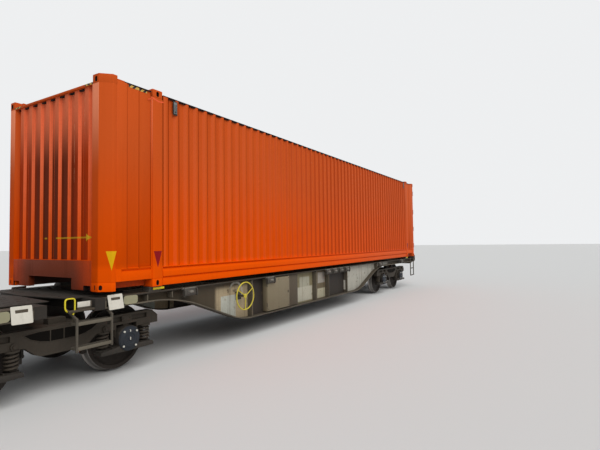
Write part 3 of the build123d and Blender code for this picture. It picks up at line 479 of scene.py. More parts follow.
# ---- Suspension springs: an outer and an inner coil of round bar on each wing, wound the opposite
# ways, with ground ends.
def coil(bm, x, y, low, high, radius, wire, turns, hand=1, steps=14, sides=7):
    """A helical spring: a ring of wire carried round and up."""
    upright = Matrix.Translation((x + radius, y, low + wire)) @ Matrix.Rotation(math.pi / 2, 4, "X")
    ring = bmesh.ops.create_circle(bm, segments=sides, radius=wire, cap_ends=False, matrix=upright)["verts"]
    count = int(turns * steps)
    rise = (high - low - 2 * wire) / count
    bmesh.ops.spin(bm, geom=ring + list(linked(ring, "edges")), cent=(x, y, 0), axis=(0, 0, 1),
                   dvec=(0, 0, rise), angle=hand * math.tau * turns, steps=count, use_merge=False,
                   use_duplicate=False)
    bmesh.ops.holes_fill(bm, edges=[edge for edge in bm.edges if edge.is_boundary], sides=sides)


spring_brown = finish("spring_brown", (68, 60, 50), (44, 38, 32), cover=0.55, runs=0.0, splash=0.3,
                      spots=0.3, gloss=0.6)
bm = bmesh.new()
for end, offset, side in product((-1, 1), (-spring_offset, spring_offset), (-1, 1)):
    x, y = end * half_wheelbase + offset, side * spring_y
    coil(bm, x, y, 0.388, 0.608, 0.065, 0.0145, 4.4)
    coil(bm, x, y, 0.388, 0.600, 0.037, 0.009, 6.6, hand=-1, steps=12, sides=6)
bogie_piece("coil_springs", bm, [spring_brown], "spring_steel", "springs")


# ---- Brake rigging: a cast iron block on each side of the bogie's middle for every wheel, on
# hanger links, with a beam across and a pull rod between the beams.
block_iron = finish("block_iron", (52, 44, 38), (38, 33, 29), rust=(112, 60, 34), cover=0.5, runs=0.0,
                    spots=0.7, gloss=0.7)
bm = bmesh.new()
block_reach, block_y, pin_rise = 0.467, 0.762, 0.212
for end in (-1, 1):
    axle_x = end * half_wheelbase
    beam_x = end * (half_wheelbase - block_reach - 0.074)
    holder_x = axle_x - end * (block_reach + 0.066)
    for side in (-1, 1):
        y = side * block_y
        arc = []
        for reach, degrees in ((block_reach, range(-17, 18, 2)), (block_reach + 0.052, range(17, -18, -2))):
            for angle in map(math.radians, degrees):
                arc.append((axle_x - end * reach * math.cos(angle), axle_z + reach * math.sin(angle)))
        plate(bm, arc, "Y", y - 0.040, y + 0.040, edge=0.004, material=1)
        # Block holder with its key, and the two hanger links on their pins
        slab(bm, holder_x, 0.018, (y - 0.030, y + 0.030), (axle_z - 0.095, axle_z + 0.115), 0.005)
        slab(bm, holder_x, 0.008, (y - 0.006, y + 0.006), (axle_z + 0.100, axle_z + 0.140), 0.002)
        for link_y in (y + side * 0.036, y + side * 0.052):
            slab(bm, beam_x, 0.014, (link_y - 0.004, link_y + 0.004), (axle_z - 0.020, axle_z + 0.232), 0.003)
        bars(bm, "Y", [(beam_x, axle_z + pin_rise)], y - 0.044, side * 0.938, 0.013, sides=14)
        bars(bm, "Y", [(beam_x, axle_z)], y - 0.036, y + 0.066 * side, 0.015, sides=14)
    bars(bm, "Y", [(beam_x, axle_z)], -0.800, 0.800, 0.030, sides=18)
    for arm_y in (-0.700, 0.700):
        rod(bm, (beam_x, arm_y, axle_z), (beam_x - end * 0.075, 0.0, axle_z), 0.018, sides=12)
    eye_low, eye_high = sorted((beam_x - end * 0.095, beam_x + end * 0.025))
    block(bm, (eye_low, -0.025, axle_z - 0.030), (eye_high, 0.025, axle_z + 0.030), 0.004)
slab(bm, 0.0, 0.340, (-0.020, 0.020), (axle_z - 0.012, axle_z + 0.012), 0.004)
bogie_piece("brake_rigging", bm, [bogie_dark, block_iron], "bogie_brown", "brakes")


# ---- Side girders: fish-bellied beams of plate, a web between flanges that follow its outline,
# welded stiffeners in the outer channel, grey-brown with road dirt and with painted fields.
girder_corners = [  # distance from the middle pivot, height, how far back from the corner its arc starts
    (0.440, 1.110, 0.0), (14.125, 1.110, 0.0), (14.125, 0.965, 0.0), (10.318, 0.965, 0.437),
    (8.739, 0.370, 0.259), (3.256, 0.370, 0.259), (1.677, 0.965, 0.437), (0.440, 0.965, 0.0)]
outer_y, inner_y, web_y, flange = 1.230, 1.040, 1.106, 0.020
lower_edge = [(x, z) for x, z, back in reversed(girder_corners[2:])]
# The near-black fields from 3.72 to 4.12 and from 6.78 to 7.86 are painted shade.
painted = (  # start, end, low, high, soft edge, colour, strength
    (2.66, 3.72, 0.34, 1.00, 0.050, (184, 166, 134), 0.90), (2.79, 3.195, 0.30, 0.845, 0.006, (190, 192, 180), 1.0),
    (3.72, 4.12, 0.30, 1.12, 0.006, (34, 29, 26), 1.00), (5.33, 6.09, 0.38, 1.12, 0.010, (136, 128, 98), 0.90),
    (5.49, 5.94, 0.74, 0.98, 0.020, (176, 174, 156), 0.85), (5.38, 6.07, 0.42, 0.75, 0.010, (192, 188, 170), 0.95),
    (6.11, 6.75, 0.34, 1.12, 0.010, (112, 100, 76), 0.80), (6.36, 6.72, 0.77, 1.04, 0.012, (166, 160, 150), 0.90),
    (6.33, 6.74, 0.405, 0.636, 0.012, (186, 180, 154), 0.95), (6.78, 7.86, 0.30, 1.12, 0.006, (30, 26, 24), 1.00),
    (7.90, 11.40, 0.30, 1.12, 0.020, (184, 182, 170), 0.95))


def girder_face(bm, y):
    """The girder's outline with its arcs, as one face."""
    verts = [bm.verts.new((x, y, z)) for x, z, back in girder_corners]
    bm.faces.new(verts)
    for vert, (x, z, back) in zip(verts, girder_corners):
        if back:
            rounding(bm, [vert], back, 10, "VERTICES")


def underside(x):
    """Height of the girder's lower edge, without its arcs."""
    for (x1, z1), (x2, z2) in zip(lower_edge, lower_edge[1:]):
        if x <= x2:
            return z1 + (z2 - z1) * (x - x1) / (x2 - x1)
    return lower_edge[-1][1]


def between(tree, value, rise, fall):
    """1 where the value is past the rise and short of the fall, each from its start to its end."""
    return times(tree, ramp(tree, value, *rise), ramp(tree, value, *fall, 1.0, 0.0))


def painted_fields(tree):
    """The web's clean colour: beige and white fields between the stiffeners, worn at their edges, and two near-black
    fields of painted shade.
    """
    place, split = object_place(tree)
    wear = noise(tree, place, 7.0, 6.0, 0.65)
    reach = sums(tree, "ABSOLUTE", split[0])
    wavy = sums(tree, "MULTIPLY_ADD", less(tree, wear, 0.5), 0.03, reach)
    tone = shade(68, 58, 42)
    for start, end, low, high, soft, colour, strength in painted:
        across_x = between(tree, wavy, (start - soft, start + soft), (end - soft, end + soft))
        up_z = between(tree, split[2], (low - soft, low + soft), (high - soft, high + soft))
        field = times(tree, across_x, up_z, times(tree, ramp(tree, wear, 0.28, 0.42), strength))
        tone = mixed(tree, field, tone, shade(*colour))
    # Pale ring rubbed on behind the hand wheel
    from_ring = sums(tree, "ADD", sums(tree, "POWER", less(tree, reach, 3.20), 2.0),
                     sums(tree, "POWER", less(tree, split[2], 0.88), 2.0))
    off_ring = sums(tree, "ABSOLUTE", less(tree, sums(tree, "SQRT", from_ring), 0.185))
    ring_mark = times(tree, ramp(tree, off_ring, 0.014, 0.026, 0.8, 0.0), ramp(tree, wear, 0.40, 0.52))
    return mixed(tree, ring_mark, tone, shade(190, 186, 174))


def flange_tone(tree):
    """Worn pale edge of the lower flange; the upper one darker as painted shade under the container."""
    height = object_place(tree)[1][2]
    return mixed(tree, ramp(tree, height, 1.06, 1.08), shade(104, 96, 82), shade(50, 44, 36))


def joined(bm, other, matrix=None):
    """Another bmesh moved by a matrix and taken into bm."""
    if matrix is not None:
        bmesh.ops.transform(other, matrix=matrix, verts=other.verts)
    holder = bpy.data.meshes.new("joined")
    other.to_mesh(holder)
    other.free()
    bm.from_mesh(holder)
    bpy.data.meshes.remove(holder)


def on_both(name, bm, materials, slot, node_ending=None):
    """The same piece on both platforms: as made on the loaded one, turned half round on the empty one."""
    for side, angle in (("loaded", 0.0), ("empty", math.pi)):
        own = bm.copy()
        bmesh.ops.rotate(own, verts=own.verts, cent=(0, 0, 0), matrix=Matrix.Rotation(angle, 3, "Z"))
        stands_for = [f"{side}_{node_ending}"] if node_ending else []
        piece(f"{side}_{name}", own, f"{side}_platform", materials, slot, stands_for)
    bm.free()


wagon_grey = finish("wagon_grey", (78, 69, 56), (48, 42, 35), rust=(98, 58, 36), cover=0.45, runs=0.45,
                    splash=0.3, foot=0.35, top=1.1, spots=0.25, gloss=0.6)
web_paint = finish("web_paint", (92, 80, 62), (56, 47, 36), rust=(104, 62, 38), cover=0.25, runs=0.35,
                   splash=0.25, foot=0.35, top=1.1, spots=0.3, gloss=0.55, colour_from=painted_fields)
mark_pale = finish("mark_pale", (206, 202, 190), (128, 120, 104), cover=0.25, runs=0.2, splash=0.1, gloss=0.6)
worn_edge_and_shade = finish("worn_edge_and_shade", (100, 92, 78), (48, 41, 34), rust=(104, 62, 38), cover=0.5, runs=0.2,
                   splash=0.2, foot=0.35, top=1.1, spots=0.5, gloss=0.6, colour_from=flange_tone)
bm = bmesh.new()
ring = bmesh.new()
girder_face(ring, inner_y)
inset = bmesh.ops.inset_region(ring, faces=ring.faces[:], thickness=flange, use_boundary=True,
                               use_even_offset=True)
bmesh.ops.delete(ring, geom=[face for face in ring.faces if face not in inset["faces"]], context="FACES")
swept(ring, ring.faces[:], (0, outer_y - inner_y, 0))
coat([face for face in ring.faces if abs(face.calc_center_median().y - outer_y) < 0.001], 1)
bmesh.ops.recalc_face_normals(ring, faces=ring.faces)
long_edges = [edge for edge in ring.edges if edge.is_manifold and edge.calc_face_angle(0) > 1.2]
rounding(ring, long_edges, 0.003, 1)
joined(bm, ring)
web = bmesh.new()
girder_face(web, web_y - 0.006)
swept(web, web.faces[:], (0, 0.012, 0))
coat(web.faces, 2)
joined(bm, web)
for x in (1.120, 1.580, 3.560, 6.100, 6.760, 7.870, 10.160):
    low = max(underside(x - 0.012), underside(x + 0.012)) + flange - 0.004
    slab(bm, x, 0.008, (web_y, outer_y - 0.008), (low, 1.092), 0.002, material=1, steps=1)
    slab(bm, x, 0.008, (inner_y + 0.006, web_y), (low, 1.092), 0.002, steps=1)
# Narrow pale board against the sixth stiffener
block(bm, (7.846, web_y, 0.470), (7.852, 1.160, 0.730), 0.001, material=3, steps=1)
# Butt welds of the flange plates
for x in (2.02, 3.02, 8.98, 9.98):
    bars(bm, "Y", [(x, underside(x) - 0.001)], inner_y + 0.01, outer_y - 0.01, 0.005)
both_sides(bm)
on_both("plate_girders", bm, [wagon_grey, worn_edge_and_shade, web_paint, mark_pale], "wagon_grey", "side_girders")


# ---- Cross members, outer bolster and headstock: box sections and rolled beams welded between the
# girders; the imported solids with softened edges, and the headstock's gussets and lamp irons.
buffer_y, buffer_z = 0.875, 1.088
for side in ("loaded", "empty"):
    soften(f"{side}_cross_members", 0.004, wagon_grey)
    soften(f"{side}_headstock", 0.005, wagon_grey)
    soften(f"{side}_centre_plates", 0.003, wagon_grey)
bm = bmesh.new()
for y in (-0.700, -0.340, 0.340, 0.700):
    plate(bm, [(14.127, 0.885), (14.127, 1.150), (14.050, 1.090), (14.050, 1.000)], "Y", y - 0.006, y + 0.006,
          edge=0.002)
for side in (-1, 1):
    # Lamp iron, and the bolts in the corners of the buffer's plate
    y = side * 1.120
    block(bm, (14.173, y - 0.030, 1.075), (14.181, y + 0.030, 1.160), 0.002)
    block(bm, (14.179, y - 0.022, 1.135), (14.205, y + 0.022, 1.143), 0.002)
    for bolt_y, bolt_z in product((-0.135, 0.135), repeat=2):
        at = [(side * buffer_y + bolt_y, buffer_z + bolt_z)]
        bars(bm, "X", at, 14.197, 14.219, 0.019)
        bars(bm, "X", at, 14.215, 14.232, 0.010, sides=12)
on_both("headstock_fittings", bm, [wagon_grey], "wagon_grey")


# ---- Articulation: a cross beam, a tongue over the shared bogie and a deck plate cut back in a V on
# each platform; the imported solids, with a raised tread pattern and bolt heads on the deck plate.
deck_brown = finish("deck_brown", (46, 41, 35), (34, 30, 26), rust=(104, 62, 38), cover=0.7, runs=0.0,
                    splash=0.0, spots=0.45, gloss=0.7)
for side in ("loaded", "empty"):
    soften(f"{side}_articulation", 0.003, deck_brown)
bm = bmesh.new()
for row, column in product(range(9), range(5)):
    x, y = 0.230 + column * 0.150 + (0.075 if row % 2 else 0.0), -0.840 + row * 0.210
    if x < 0.94:
        slab(bm, x, 0.040, (y - 0.008, y + 0.008), (1.1215, 1.1245), 0.0014, steps=1)
bars(bm, "Z", product((0.19, 0.55, 0.93), (-0.60, 0.60)), 1.121, 1.127, 0.014, sides=12)
on_both("deck_studs", bm, [deck_brown], "wagon_grey")


# ---- Buffers: forged housings bolted to the headstock, a sliding plunger with its keeper ring, and a
# wide head with rounded corners and a greased, scuffed face.
buffer_dark = finish("buffer_dark", (60, 55, 50), (44, 39, 34), rust=(96, 56, 34), cover=0.6, runs=0.1,
                     splash=0.1, spots=0.4, gloss=0.55)
greased = finish("greased_face", (72, 68, 64), (30, 27, 24), cover=0.85, runs=0.0, splash=0.0, spots=0.2,
                 gloss=0.3, metallic=0.4)
housing = [(14.195, 0.0), (14.195, 0.150), (14.211, 0.150), (14.217, 0.140), (14.225, 0.122), (14.250, 0.115),
           (14.480, 0.113), (14.486, 0.115), (14.500, 0.115), (14.520, 0.113), (14.522, 0.098), (14.524, 0.092),
           (14.700, 0.090), (14.724, 0.094), (14.745, 0.110), (14.756, 0.130), (14.756, 0.0)]
bm = bmesh.new()
for side in (-1, 1):
    centre = (0, side * buffer_y, buffer_z)
    turned(bm, housing, centre, "X", steps=44)
    for angle in (45, 135, 225, 315):
        rib = bmesh.new()
        plate(rib, [(14.212, 0.110), (14.212, 0.148), (14.330, 0.117), (14.330, 0.108)], "Y", -0.008, 0.008,
              edge=0.002)
        joined(bm, rib, Matrix.Translation(centre) @ Matrix.Rotation(math.radians(angle), 4, "X"))
    # Head: a rounded rectangle, dished a little towards its edge
    head = bmesh.new()
    head.faces.new([head.verts.new((14.752, side * buffer_y + y, buffer_z + z)) for y, z in (
        (-0.225, -0.170), (0.225, -0.170), (0.225, 0.170), (-0.225, 0.170))])
    rounding(head, head.verts, 0.110, 8, "VERTICES")
    front = [item for item in swept(head, head.faces[:], (0.034, 0, 0))[0] if isinstance(item, bmesh.types.BMFace)]
    coat(front, 1)
    bmesh.ops.inset_region(head, faces=front, thickness=0.045, depth=0.007, use_even_offset=True)
    joined(bm, head)
on_both("buffer_castings", bm, [buffer_dark, greased], "buffer_dark", "buffers")


# ---- Draw gear: a forged hook through the headstock with its cover plate, and the screw coupling
# hung up on it: two links, the threaded screw and its weighted handle.
coupling_x = 14.272
hook = [(14.130, 1.106), (14.320, 1.106), (14.352, 1.130), (14.366, 1.166), (14.392, 1.178), (14.430, 1.172),
        (14.452, 1.150), (14.460, 1.110), (14.458, 1.050), (14.440, 1.016), (14.400, 1.003), (14.340, 1.008),
        (14.310, 1.030), (14.290, 1.050), (14.130, 1.050)]
link = [(14.254, 1.092), (14.290, 1.092), (14.284, 0.980), (14.284, 0.930), (14.260, 0.930), (14.260, 0.980)]
threads = [(0.775 + 0.008 * i, 0.019 if i % 2 else 0.0155) for i in range(19)]
screw = [(0.770, 0.0), (0.770, 0.017), *threads, (0.930, 0.017), (0.930, 0.0)]
weight = [(-0.030, 0.0), (-0.028, 0.014), (-0.012, 0.024), (0.008, 0.024), (0.022, 0.014), (0.024, 0.0)]
bm = bmesh.new()
plate(bm, hook, "Y", -0.028, 0.028, edge=0.009, steps=3)
block(bm, (14.174, -0.090, 0.968), (14.195, 0.090, 1.188), 0.006)
bars(bm, "X", product((-0.068, 0.068), (0.992, 1.164)), 14.193, 14.212, 0.015)
for pin_z, half, radius in ((1.078, 0.068, 0.018), (0.935, 0.072, 0.021), (0.790, 0.066, 0.020)):
    bars(bm, "Y", [(coupling_x, pin_z)], -half, half, radius, sides=20)
for y in (-0.050, 0.050):
    plate(bm, link, "Y", y - 0.009, y + 0.009, edge=0.004, steps=2)
turned(bm, screw, (coupling_x, 0, 0), "Z", steps=20)
rod(bm, (coupling_x, 0.0, 0.860), (14.330, 0.0, 0.800), 0.009, sides=12)
turned(bm, weight, (14.338, 0, 0.792), "Z", steps=20)
on_both("screw_coupling", bm, [buffer_dark], "buffer_dark", "draw_gear")


# ---- Spigots: cast pedestals with a tapered peg, upright under the 40 ft castings and with a yellow
# edge there; elsewhere the same castings lie folded out beside the girder, hinged on a pin.
forty_foot = (1.2505, 13.2355)
spigot_y, seat_z, girder_top = 1.1295, 1.183, 1.110
folded = (1.915, 4.137, 6.686, 7.060, 7.426, 7.800, 10.349, 12.571)
cast_dark = finish("cast_dark", (72, 68, 62), (52, 47, 41), rust=(96, 58, 36), cover=0.5, runs=0.2,
                   splash=0.0, spots=0.35, gloss=0.55)
cast_worn = finish("cast_worn", (128, 124, 116), (70, 64, 56), rust=(104, 66, 42), cover=0.5, runs=0.0,
                   splash=0.0, spots=0.5, gloss=0.45, metallic=0.3)
safety_yellow = finish("safety_yellow", (232, 214, 40), (128, 116, 56), rust=(112, 66, 34), cover=0.3, runs=0.1,
                       splash=0.1, foot=0.3, top=1.0, spots=0.12, gloss=0.45)
peg_outline = [(0.048, 0.010), (0.036, 0.025), (-0.036, 0.025), (-0.048, 0.010), (-0.048, -0.010),
               (-0.036, -0.025), (0.036, -0.025), (0.048, -0.010)]
cheek = [(1.228, 1.108), (1.262, 1.108), (1.287, 1.062), (1.288, 1.000), (1.266, 0.963), (1.228, 0.975)]
folded_base = [(1.234, 1.086), (1.258, 1.090), (1.276, 1.000), (1.258, 0.974), (1.236, 0.984)]
folded_foot = [(1.252, 1.074), (1.270, 1.070), (1.284, 1.006), (1.268, 0.992)]


def peg(height):
    """A tapered oblong peg standing up from the origin."""
    own = bmesh.new()
    plate(own, peg_outline, "Z", 0.0, height)
    top = [vert for vert in own.verts if vert.co.z > height / 2]
    bmesh.ops.scale(own, vec=(0.72, 0.66, 1.0), verts=top)
    rounding(own, [edge for edge in own.edges if edge.is_manifold], 0.004, 2)
    coat(own.faces, 1)
    return own


bm = bmesh.new()
for x in forty_foot:
    slab(bm, x, 0.115, (spigot_y - 0.090, spigot_y + 0.090), (girder_top, 1.128), 0.004)
    slab(bm, x, 0.098, (spigot_y - 0.074, spigot_y + 0.082), (1.124, 1.158), 0.006)
    slab(bm, x, 0.100, (spigot_y - 0.080, spigot_y + 0.092), (1.156, seat_z - 0.001), 0.005)
    block(bm, (x - 0.037, spigot_y + 0.088, 1.136), (x + 0.165, spigot_y + 0.0945, 1.168), 0.001, material=2, steps=1)
    joined(bm, peg(0.060), Matrix.Translation((x, spigot_y, seat_z - 0.002)))
    bars(bm, "Z", [(x - 0.094, 1.215), (x + 0.094, 1.215)], 1.126, 1.140, 0.012)
for x in folded:
    for cheek_x in (x - 0.140, x + 0.122):
        plate(bm, cheek, "X", cheek_x, cheek_x + 0.018, edge=0.003)
    # Casting folded on its side: base plate, raised foot and the peg
    plate(bm, folded_base, "X", x - 0.112, x + 0.112, edge=0.005, steps=2)
    plate(bm, folded_foot, "X", x - 0.078, x + 0.078, edge=0.004)
    joined(bm, peg(0.032), Matrix.Translation((x, 1.272, 1.038)) @ Matrix.Rotation(-math.radians(77.6), 4, "X"))
    for start, end, radius in ((-0.152, 0.146, 0.010), (-0.158, -0.148, 0.017)):
        bars(bm, "X", [(1.246, 1.096)], x + start, x + end, radius, sides=12, material=1)
both_sides(bm)
on_both("spigot_castings", bm, [cast_dark, cast_worn, safety_yellow], "wagon_grey", "spigots")


# ---- Steps: square bars bent inwards to the cross beam, with grating treads, the yellow hand loop and
# a blank card plate behind it; at the outer end a shunter's step on each side.
def pipe(bm, points, radius, closed=False, material=0):
    """A bent round bar through the points, as the mesh of a curve with a round bevel."""
    curve = bpy.data.curves.new("pipe", "CURVE")
    curve.dimensions = "3D"
    curve.bevel_depth = radius
    curve.bevel_resolution = 3
    curve.use_fill_caps = True
    line = curve.splines.new("POLY")
    line.points.add(len(points) - 1)
    for at, place in zip(line.points, points):
        at.co = (*place, 1.0)
    line.use_cyclic_u = closed
    holder = bpy.data.objects.new("pipe", curve)
    mesh = bpy.data.meshes.new_from_object(holder)
    mesh.polygons.foreach_set("material_index", [material] * len(mesh.polygons))
    bm.from_mesh(mesh)
    bpy.data.meshes.remove(mesh)
    bpy.data.objects.remove(holder)
    bpy.data.curves.remove(curve)


def rounded(points, back, steps=5):
    """A path with its corners rounded off, each from `back` before the corner to `back` behind it."""
    path = [Vector(point) for point in points]
    made = [path[0]]
    for before, corner, after in zip(path, path[1:], path[2:]):
        start = corner + (before - corner).normalized() * back
        end = corner + (after - corner).normalized() * back
        for step in range(steps + 1):
            share = step / steps
            made.append(start.lerp(corner, share).lerp(corner.lerp(end, share), share))
    return made + [path[-1]]


step_grey = finish("step_grey", (88, 82, 72), (54, 48, 41), rust=(104, 64, 38), cover=0.5, runs=0.2,
                   splash=0.3, foot=0.3, top=0.9, spots=0.35, gloss=0.6)
step_edge = finish("step_edge", (106, 99, 86), (72, 65, 54), rust=(104, 64, 38), cover=0.4, runs=0.2,
                   splash=0.2, spots=0.3, gloss=0.55)
plate_white = finish("plate_white", (214, 210, 198), (128, 120, 104), rust=(112, 74, 46), cover=0.25, runs=0.3,
                     splash=0.1, foot=0.3, top=1.1, spots=0.1, gloss=0.45)
step_y, tread_height, step_low, step_high = -1.300, 0.034, 0.500, 0.880


def grating(bm, start, end, low_y, high_y, z, pitch=0.040):
    """An open tread: a frame of flat bars with slats and two cross rods."""
    top = z + tread_height
    for y in (low_y, high_y - 0.006):
        block(bm, (start, y, z), (end, y + 0.006, top), 0.0015, steps=1)
    for x in (start, end - 0.006):
        block(bm, (x, low_y, z), (x + 0.006, high_y, top), 0.0015, steps=1)
    count = int((end - start) / pitch)
    for number in range(1, count):
        slab(bm, start + number * (end - start) / count, 0.002, (low_y + 0.004, high_y - 0.004),
             (z + 0.006, top - 0.002))
    bars(bm, "X", [(low_y + share * (high_y - low_y), top - 0.008) for share in (0.33, 0.67)],
         start + 0.004, end - 0.004, 0.004)


bm = bmesh.new()
for post_x, stay_y, stay_z in ((0.011, -1.056, 1.010), (0.483, -1.112, 1.008)):
    block(bm, (post_x, step_y, step_low), (post_x + 0.026, step_y + 0.026, step_high + 0.010), 0.003)
    stay = [(step_y, step_high + 0.004), (step_y + 0.026, step_high + 0.004), (stay_y, stay_z - 0.016),
            (stay_y, stay_z), (step_y, step_high + 0.026)]
    plate(bm, stay, "X", post_x + 0.002, post_x + 0.026, edge=0.003, steps=2)
for tread_z in (step_low + 0.022, step_high - 0.060):
    block(bm, (0.036, step_y + 0.002, tread_z), (0.486, step_y + 0.014, tread_z + 0.042), 0.003, material=4)
    grating(bm, 0.014, 0.506, step_y + 0.014, step_y + 0.120, tread_z + 0.004)
# Hand loop, and the card plate with its frame
block(bm, (-0.040, -1.226, 0.978), (0.300, -1.186, 1.006), 0.004, material=3)
block(bm, (0.020, -1.196, 0.840), (0.050, -1.186, 0.990), 0.002, material=3)
bars(bm, "Y", [(-0.010, 0.992), (0.270, 0.992)], -1.224, -1.234, 0.009, material=3)
loop = [(0.020, -1.206, 0.952), (0.047, -1.204, 0.990), (0.047, -1.204, 1.149), (-0.075, -1.204, 1.149),
        (-0.075, -1.204, 1.020), (-0.050, -1.204, 0.996)]
pipe(bm, rounded(loop, 0.036), 0.0095, material=1)
block(bm, (0.080, -1.206, 1.032), (0.248, -1.200, 1.098), 0.002, material=2)
block(bm, (0.080, -1.204, 1.006), (0.262, -1.196, 1.034), 0.002, material=3)
block(bm, (0.250, -1.206, 1.020), (0.270, -1.198, 1.096), 0.002, material=3)
# Shunter's steps
for side in (-1, 1):
    ys = sorted((side * outer_y, side * (outer_y + 0.030)))
    for post_x in (13.650, 14.040):
        block(bm, (post_x, ys[0], 0.430), (post_x + 0.030, ys[1], 1.090), 0.004)
        bars(bm, "Y", product([post_x + 0.015], (1.030, 1.070)), side * 1.257, side * 1.269, 0.011)
    for tread_z in (0.430, 0.700):
        block(bm, (13.650, ys[0], tread_z), (14.070, ys[1], tread_z + 0.030), 0.004)
        for number in range(9):
            slab(bm, 13.690 + number * 0.042, 0.008, (ys[0] + 0.003, ys[1] - 0.003),
                 (tread_z + 0.028, tread_z + 0.033), 0.001, steps=1)
on_both("step_bars", bm, [step_grey, safety_yellow, plate_white, wagon_grey, step_edge], "wagon_grey", "steps")


# ---- Hand brake: a yellow wheel of bent round bar with three spokes, on a shaft that runs through a
# bearing plate on each web.
hub_x, hub_y, hub_z = 3.270, 1.285, 0.818


def round_hub(reach, angle, y=hub_y):
    """A point round the hand wheel's hub."""
    return hub_x + reach * math.cos(angle), y, hub_z + reach * math.sin(angle)


bm = bmesh.new()
pipe(bm, [round_hub(0.250, math.tau * i / 64) for i in range(64)], 0.012, closed=True)
for angle in map(math.radians, (-90, 30, 150)):
    # Each spoke is dished out at the hub and bent back to the rim
    spoke = [round_hub(0.030, angle, 1.290), round_hub(0.075, angle, 1.290), round_hub(0.246, angle)]
    pipe(bm, rounded(spoke, 0.020, steps=3), 0.0095)
hub = [(1.268, 0.0), (1.268, 0.036), (1.276, 0.042), (1.290, 0.042), (1.294, 0.036), (1.294, 0.022), (1.298, 0.020),
       (1.298, 0.0)]
turned(bm, hub, (hub_x, 0, hub_z), "Y", steps=28)
bars(bm, "Y", [(hub_x, hub_z)], 1.110, 1.270, 0.022, sides=20, material=1)
slab(bm, hub_x, 0.075, (1.110, 1.122), (hub_z - 0.075, hub_z + 0.075), 0.004, material=1)
bars(bm, "Y", product((hub_x - 0.055, hub_x + 0.055), (hub_z - 0.055, hub_z + 0.055)), 1.120, 1.134, 0.011, material=1)
both_sides(bm)
hand_yellow = finish("hand_yellow", (206, 190, 62), (128, 114, 60), rust=(118, 76, 40), cover=0.45, runs=0.1,
                     splash=0.1, foot=0.3, top=1.0, spots=0.25, gloss=0.5)
piece("loaded_hand_wheels", bm, "loaded_platform", [hand_yellow, cast_dark], "safety_yellow", ["loaded_hand_brake"])


# ---- Cabinets: beige sheet boxes in the girder's channel with a bolted cover, hinges and a latch, and a
# brown cover plate beside them.
cabinet_beige = finish("cabinet_beige", (126, 115, 92), (86, 76, 60), rust=(112, 72, 44), cover=0.3, runs=0.12,
                       splash=0.25, foot=0.4, top=1.0, spots=0.15, gloss=0.5)
cabinet_brown = finish("cabinet_brown", (86, 76, 62), (60, 52, 42), rust=(100, 62, 38), cover=0.5, runs=0.3,
                       splash=0.25, foot=0.4, top=1.0, spots=0.2, gloss=0.55)
bm = bmesh.new()
block(bm, (4.045, 1.112, 0.410), (4.885, 1.214, 1.070), 0.006)
block(bm, (4.052, 1.208, 0.416), (4.873, 1.228, 1.064), 0.006)
bars(bm, "Y", product((4.090, 4.460, 4.845), (0.450, 1.030)), 1.226, 1.2298, 0.013, material=1)
for z in (0.540, 0.940):
    bars(bm, "Z", [(4.053, 1.222)], z - 0.035, z + 0.035, 0.0075, sides=12, material=1)
block(bm, (4.800, 1.226, 0.715), (4.850, 1.2298, 0.765), 0.001, material=1, steps=1)
block(bm, (4.895, 1.112, 0.400), (5.286, 1.186, 1.080), 0.005, material=1)
bars(bm, "Y", product((4.925, 5.256), (0.440, 0.740, 1.040)), 1.184, 1.190, 0.011, material=1)
both_sides(bm)
on_both("brake_cabinets", bm, [cabinet_beige, cabinet_brown], "cabinet_beige", "cabinets")


# ---- Load plates: blank painted plates on brackets at the inner end, the first hung a little askew,
# the second one olive beige with round ends.
plate_olive = finish("plate_olive", (150, 146, 118), (96, 90, 70), rust=(112, 74, 46), cover=0.3, runs=0.3,
                     splash=0.1, foot=0.3, top=1.1, spots=0.1, gloss=0.5)
plate_z = 1.044
bm = bmesh.new()
for x, half_x, half_z, corner, lean, tilt, material in (
        (0.580, 0.1110, 0.098, 0.012, -1.0, 12.0, 0), (0.812, 0.1115, 0.058, 0.036, 1.0, 0.0, 1)):
    own = bmesh.new()
    own.faces.new([own.verts.new((a * half_x, -0.003, b * half_z)) for a, b in ((-1, -1), (1, -1), (1, 1), (-1, 1))])
    rounding(own, own.verts, corner, 5, "VERTICES")
    swept(own, own.faces[:], (0, 0.006, 0))
    coat(own.faces, material)
    turn = Matrix.Rotation(math.radians(tilt), 4, "X") @ Matrix.Rotation(math.radians(lean), 4, "Y")
    joined(bm, own, Matrix.Translation((x, 1.250, plate_z)) @ turn)
    slab(bm, x, half_x - 0.045, (1.228, 1.248), (0.973, 1.102), 0.002, material=2)
both_sides(bm)
on_both("load_plate_sheets", bm, [plate_white, plate_olive, wagon_grey], "plate_white", "load_plates")
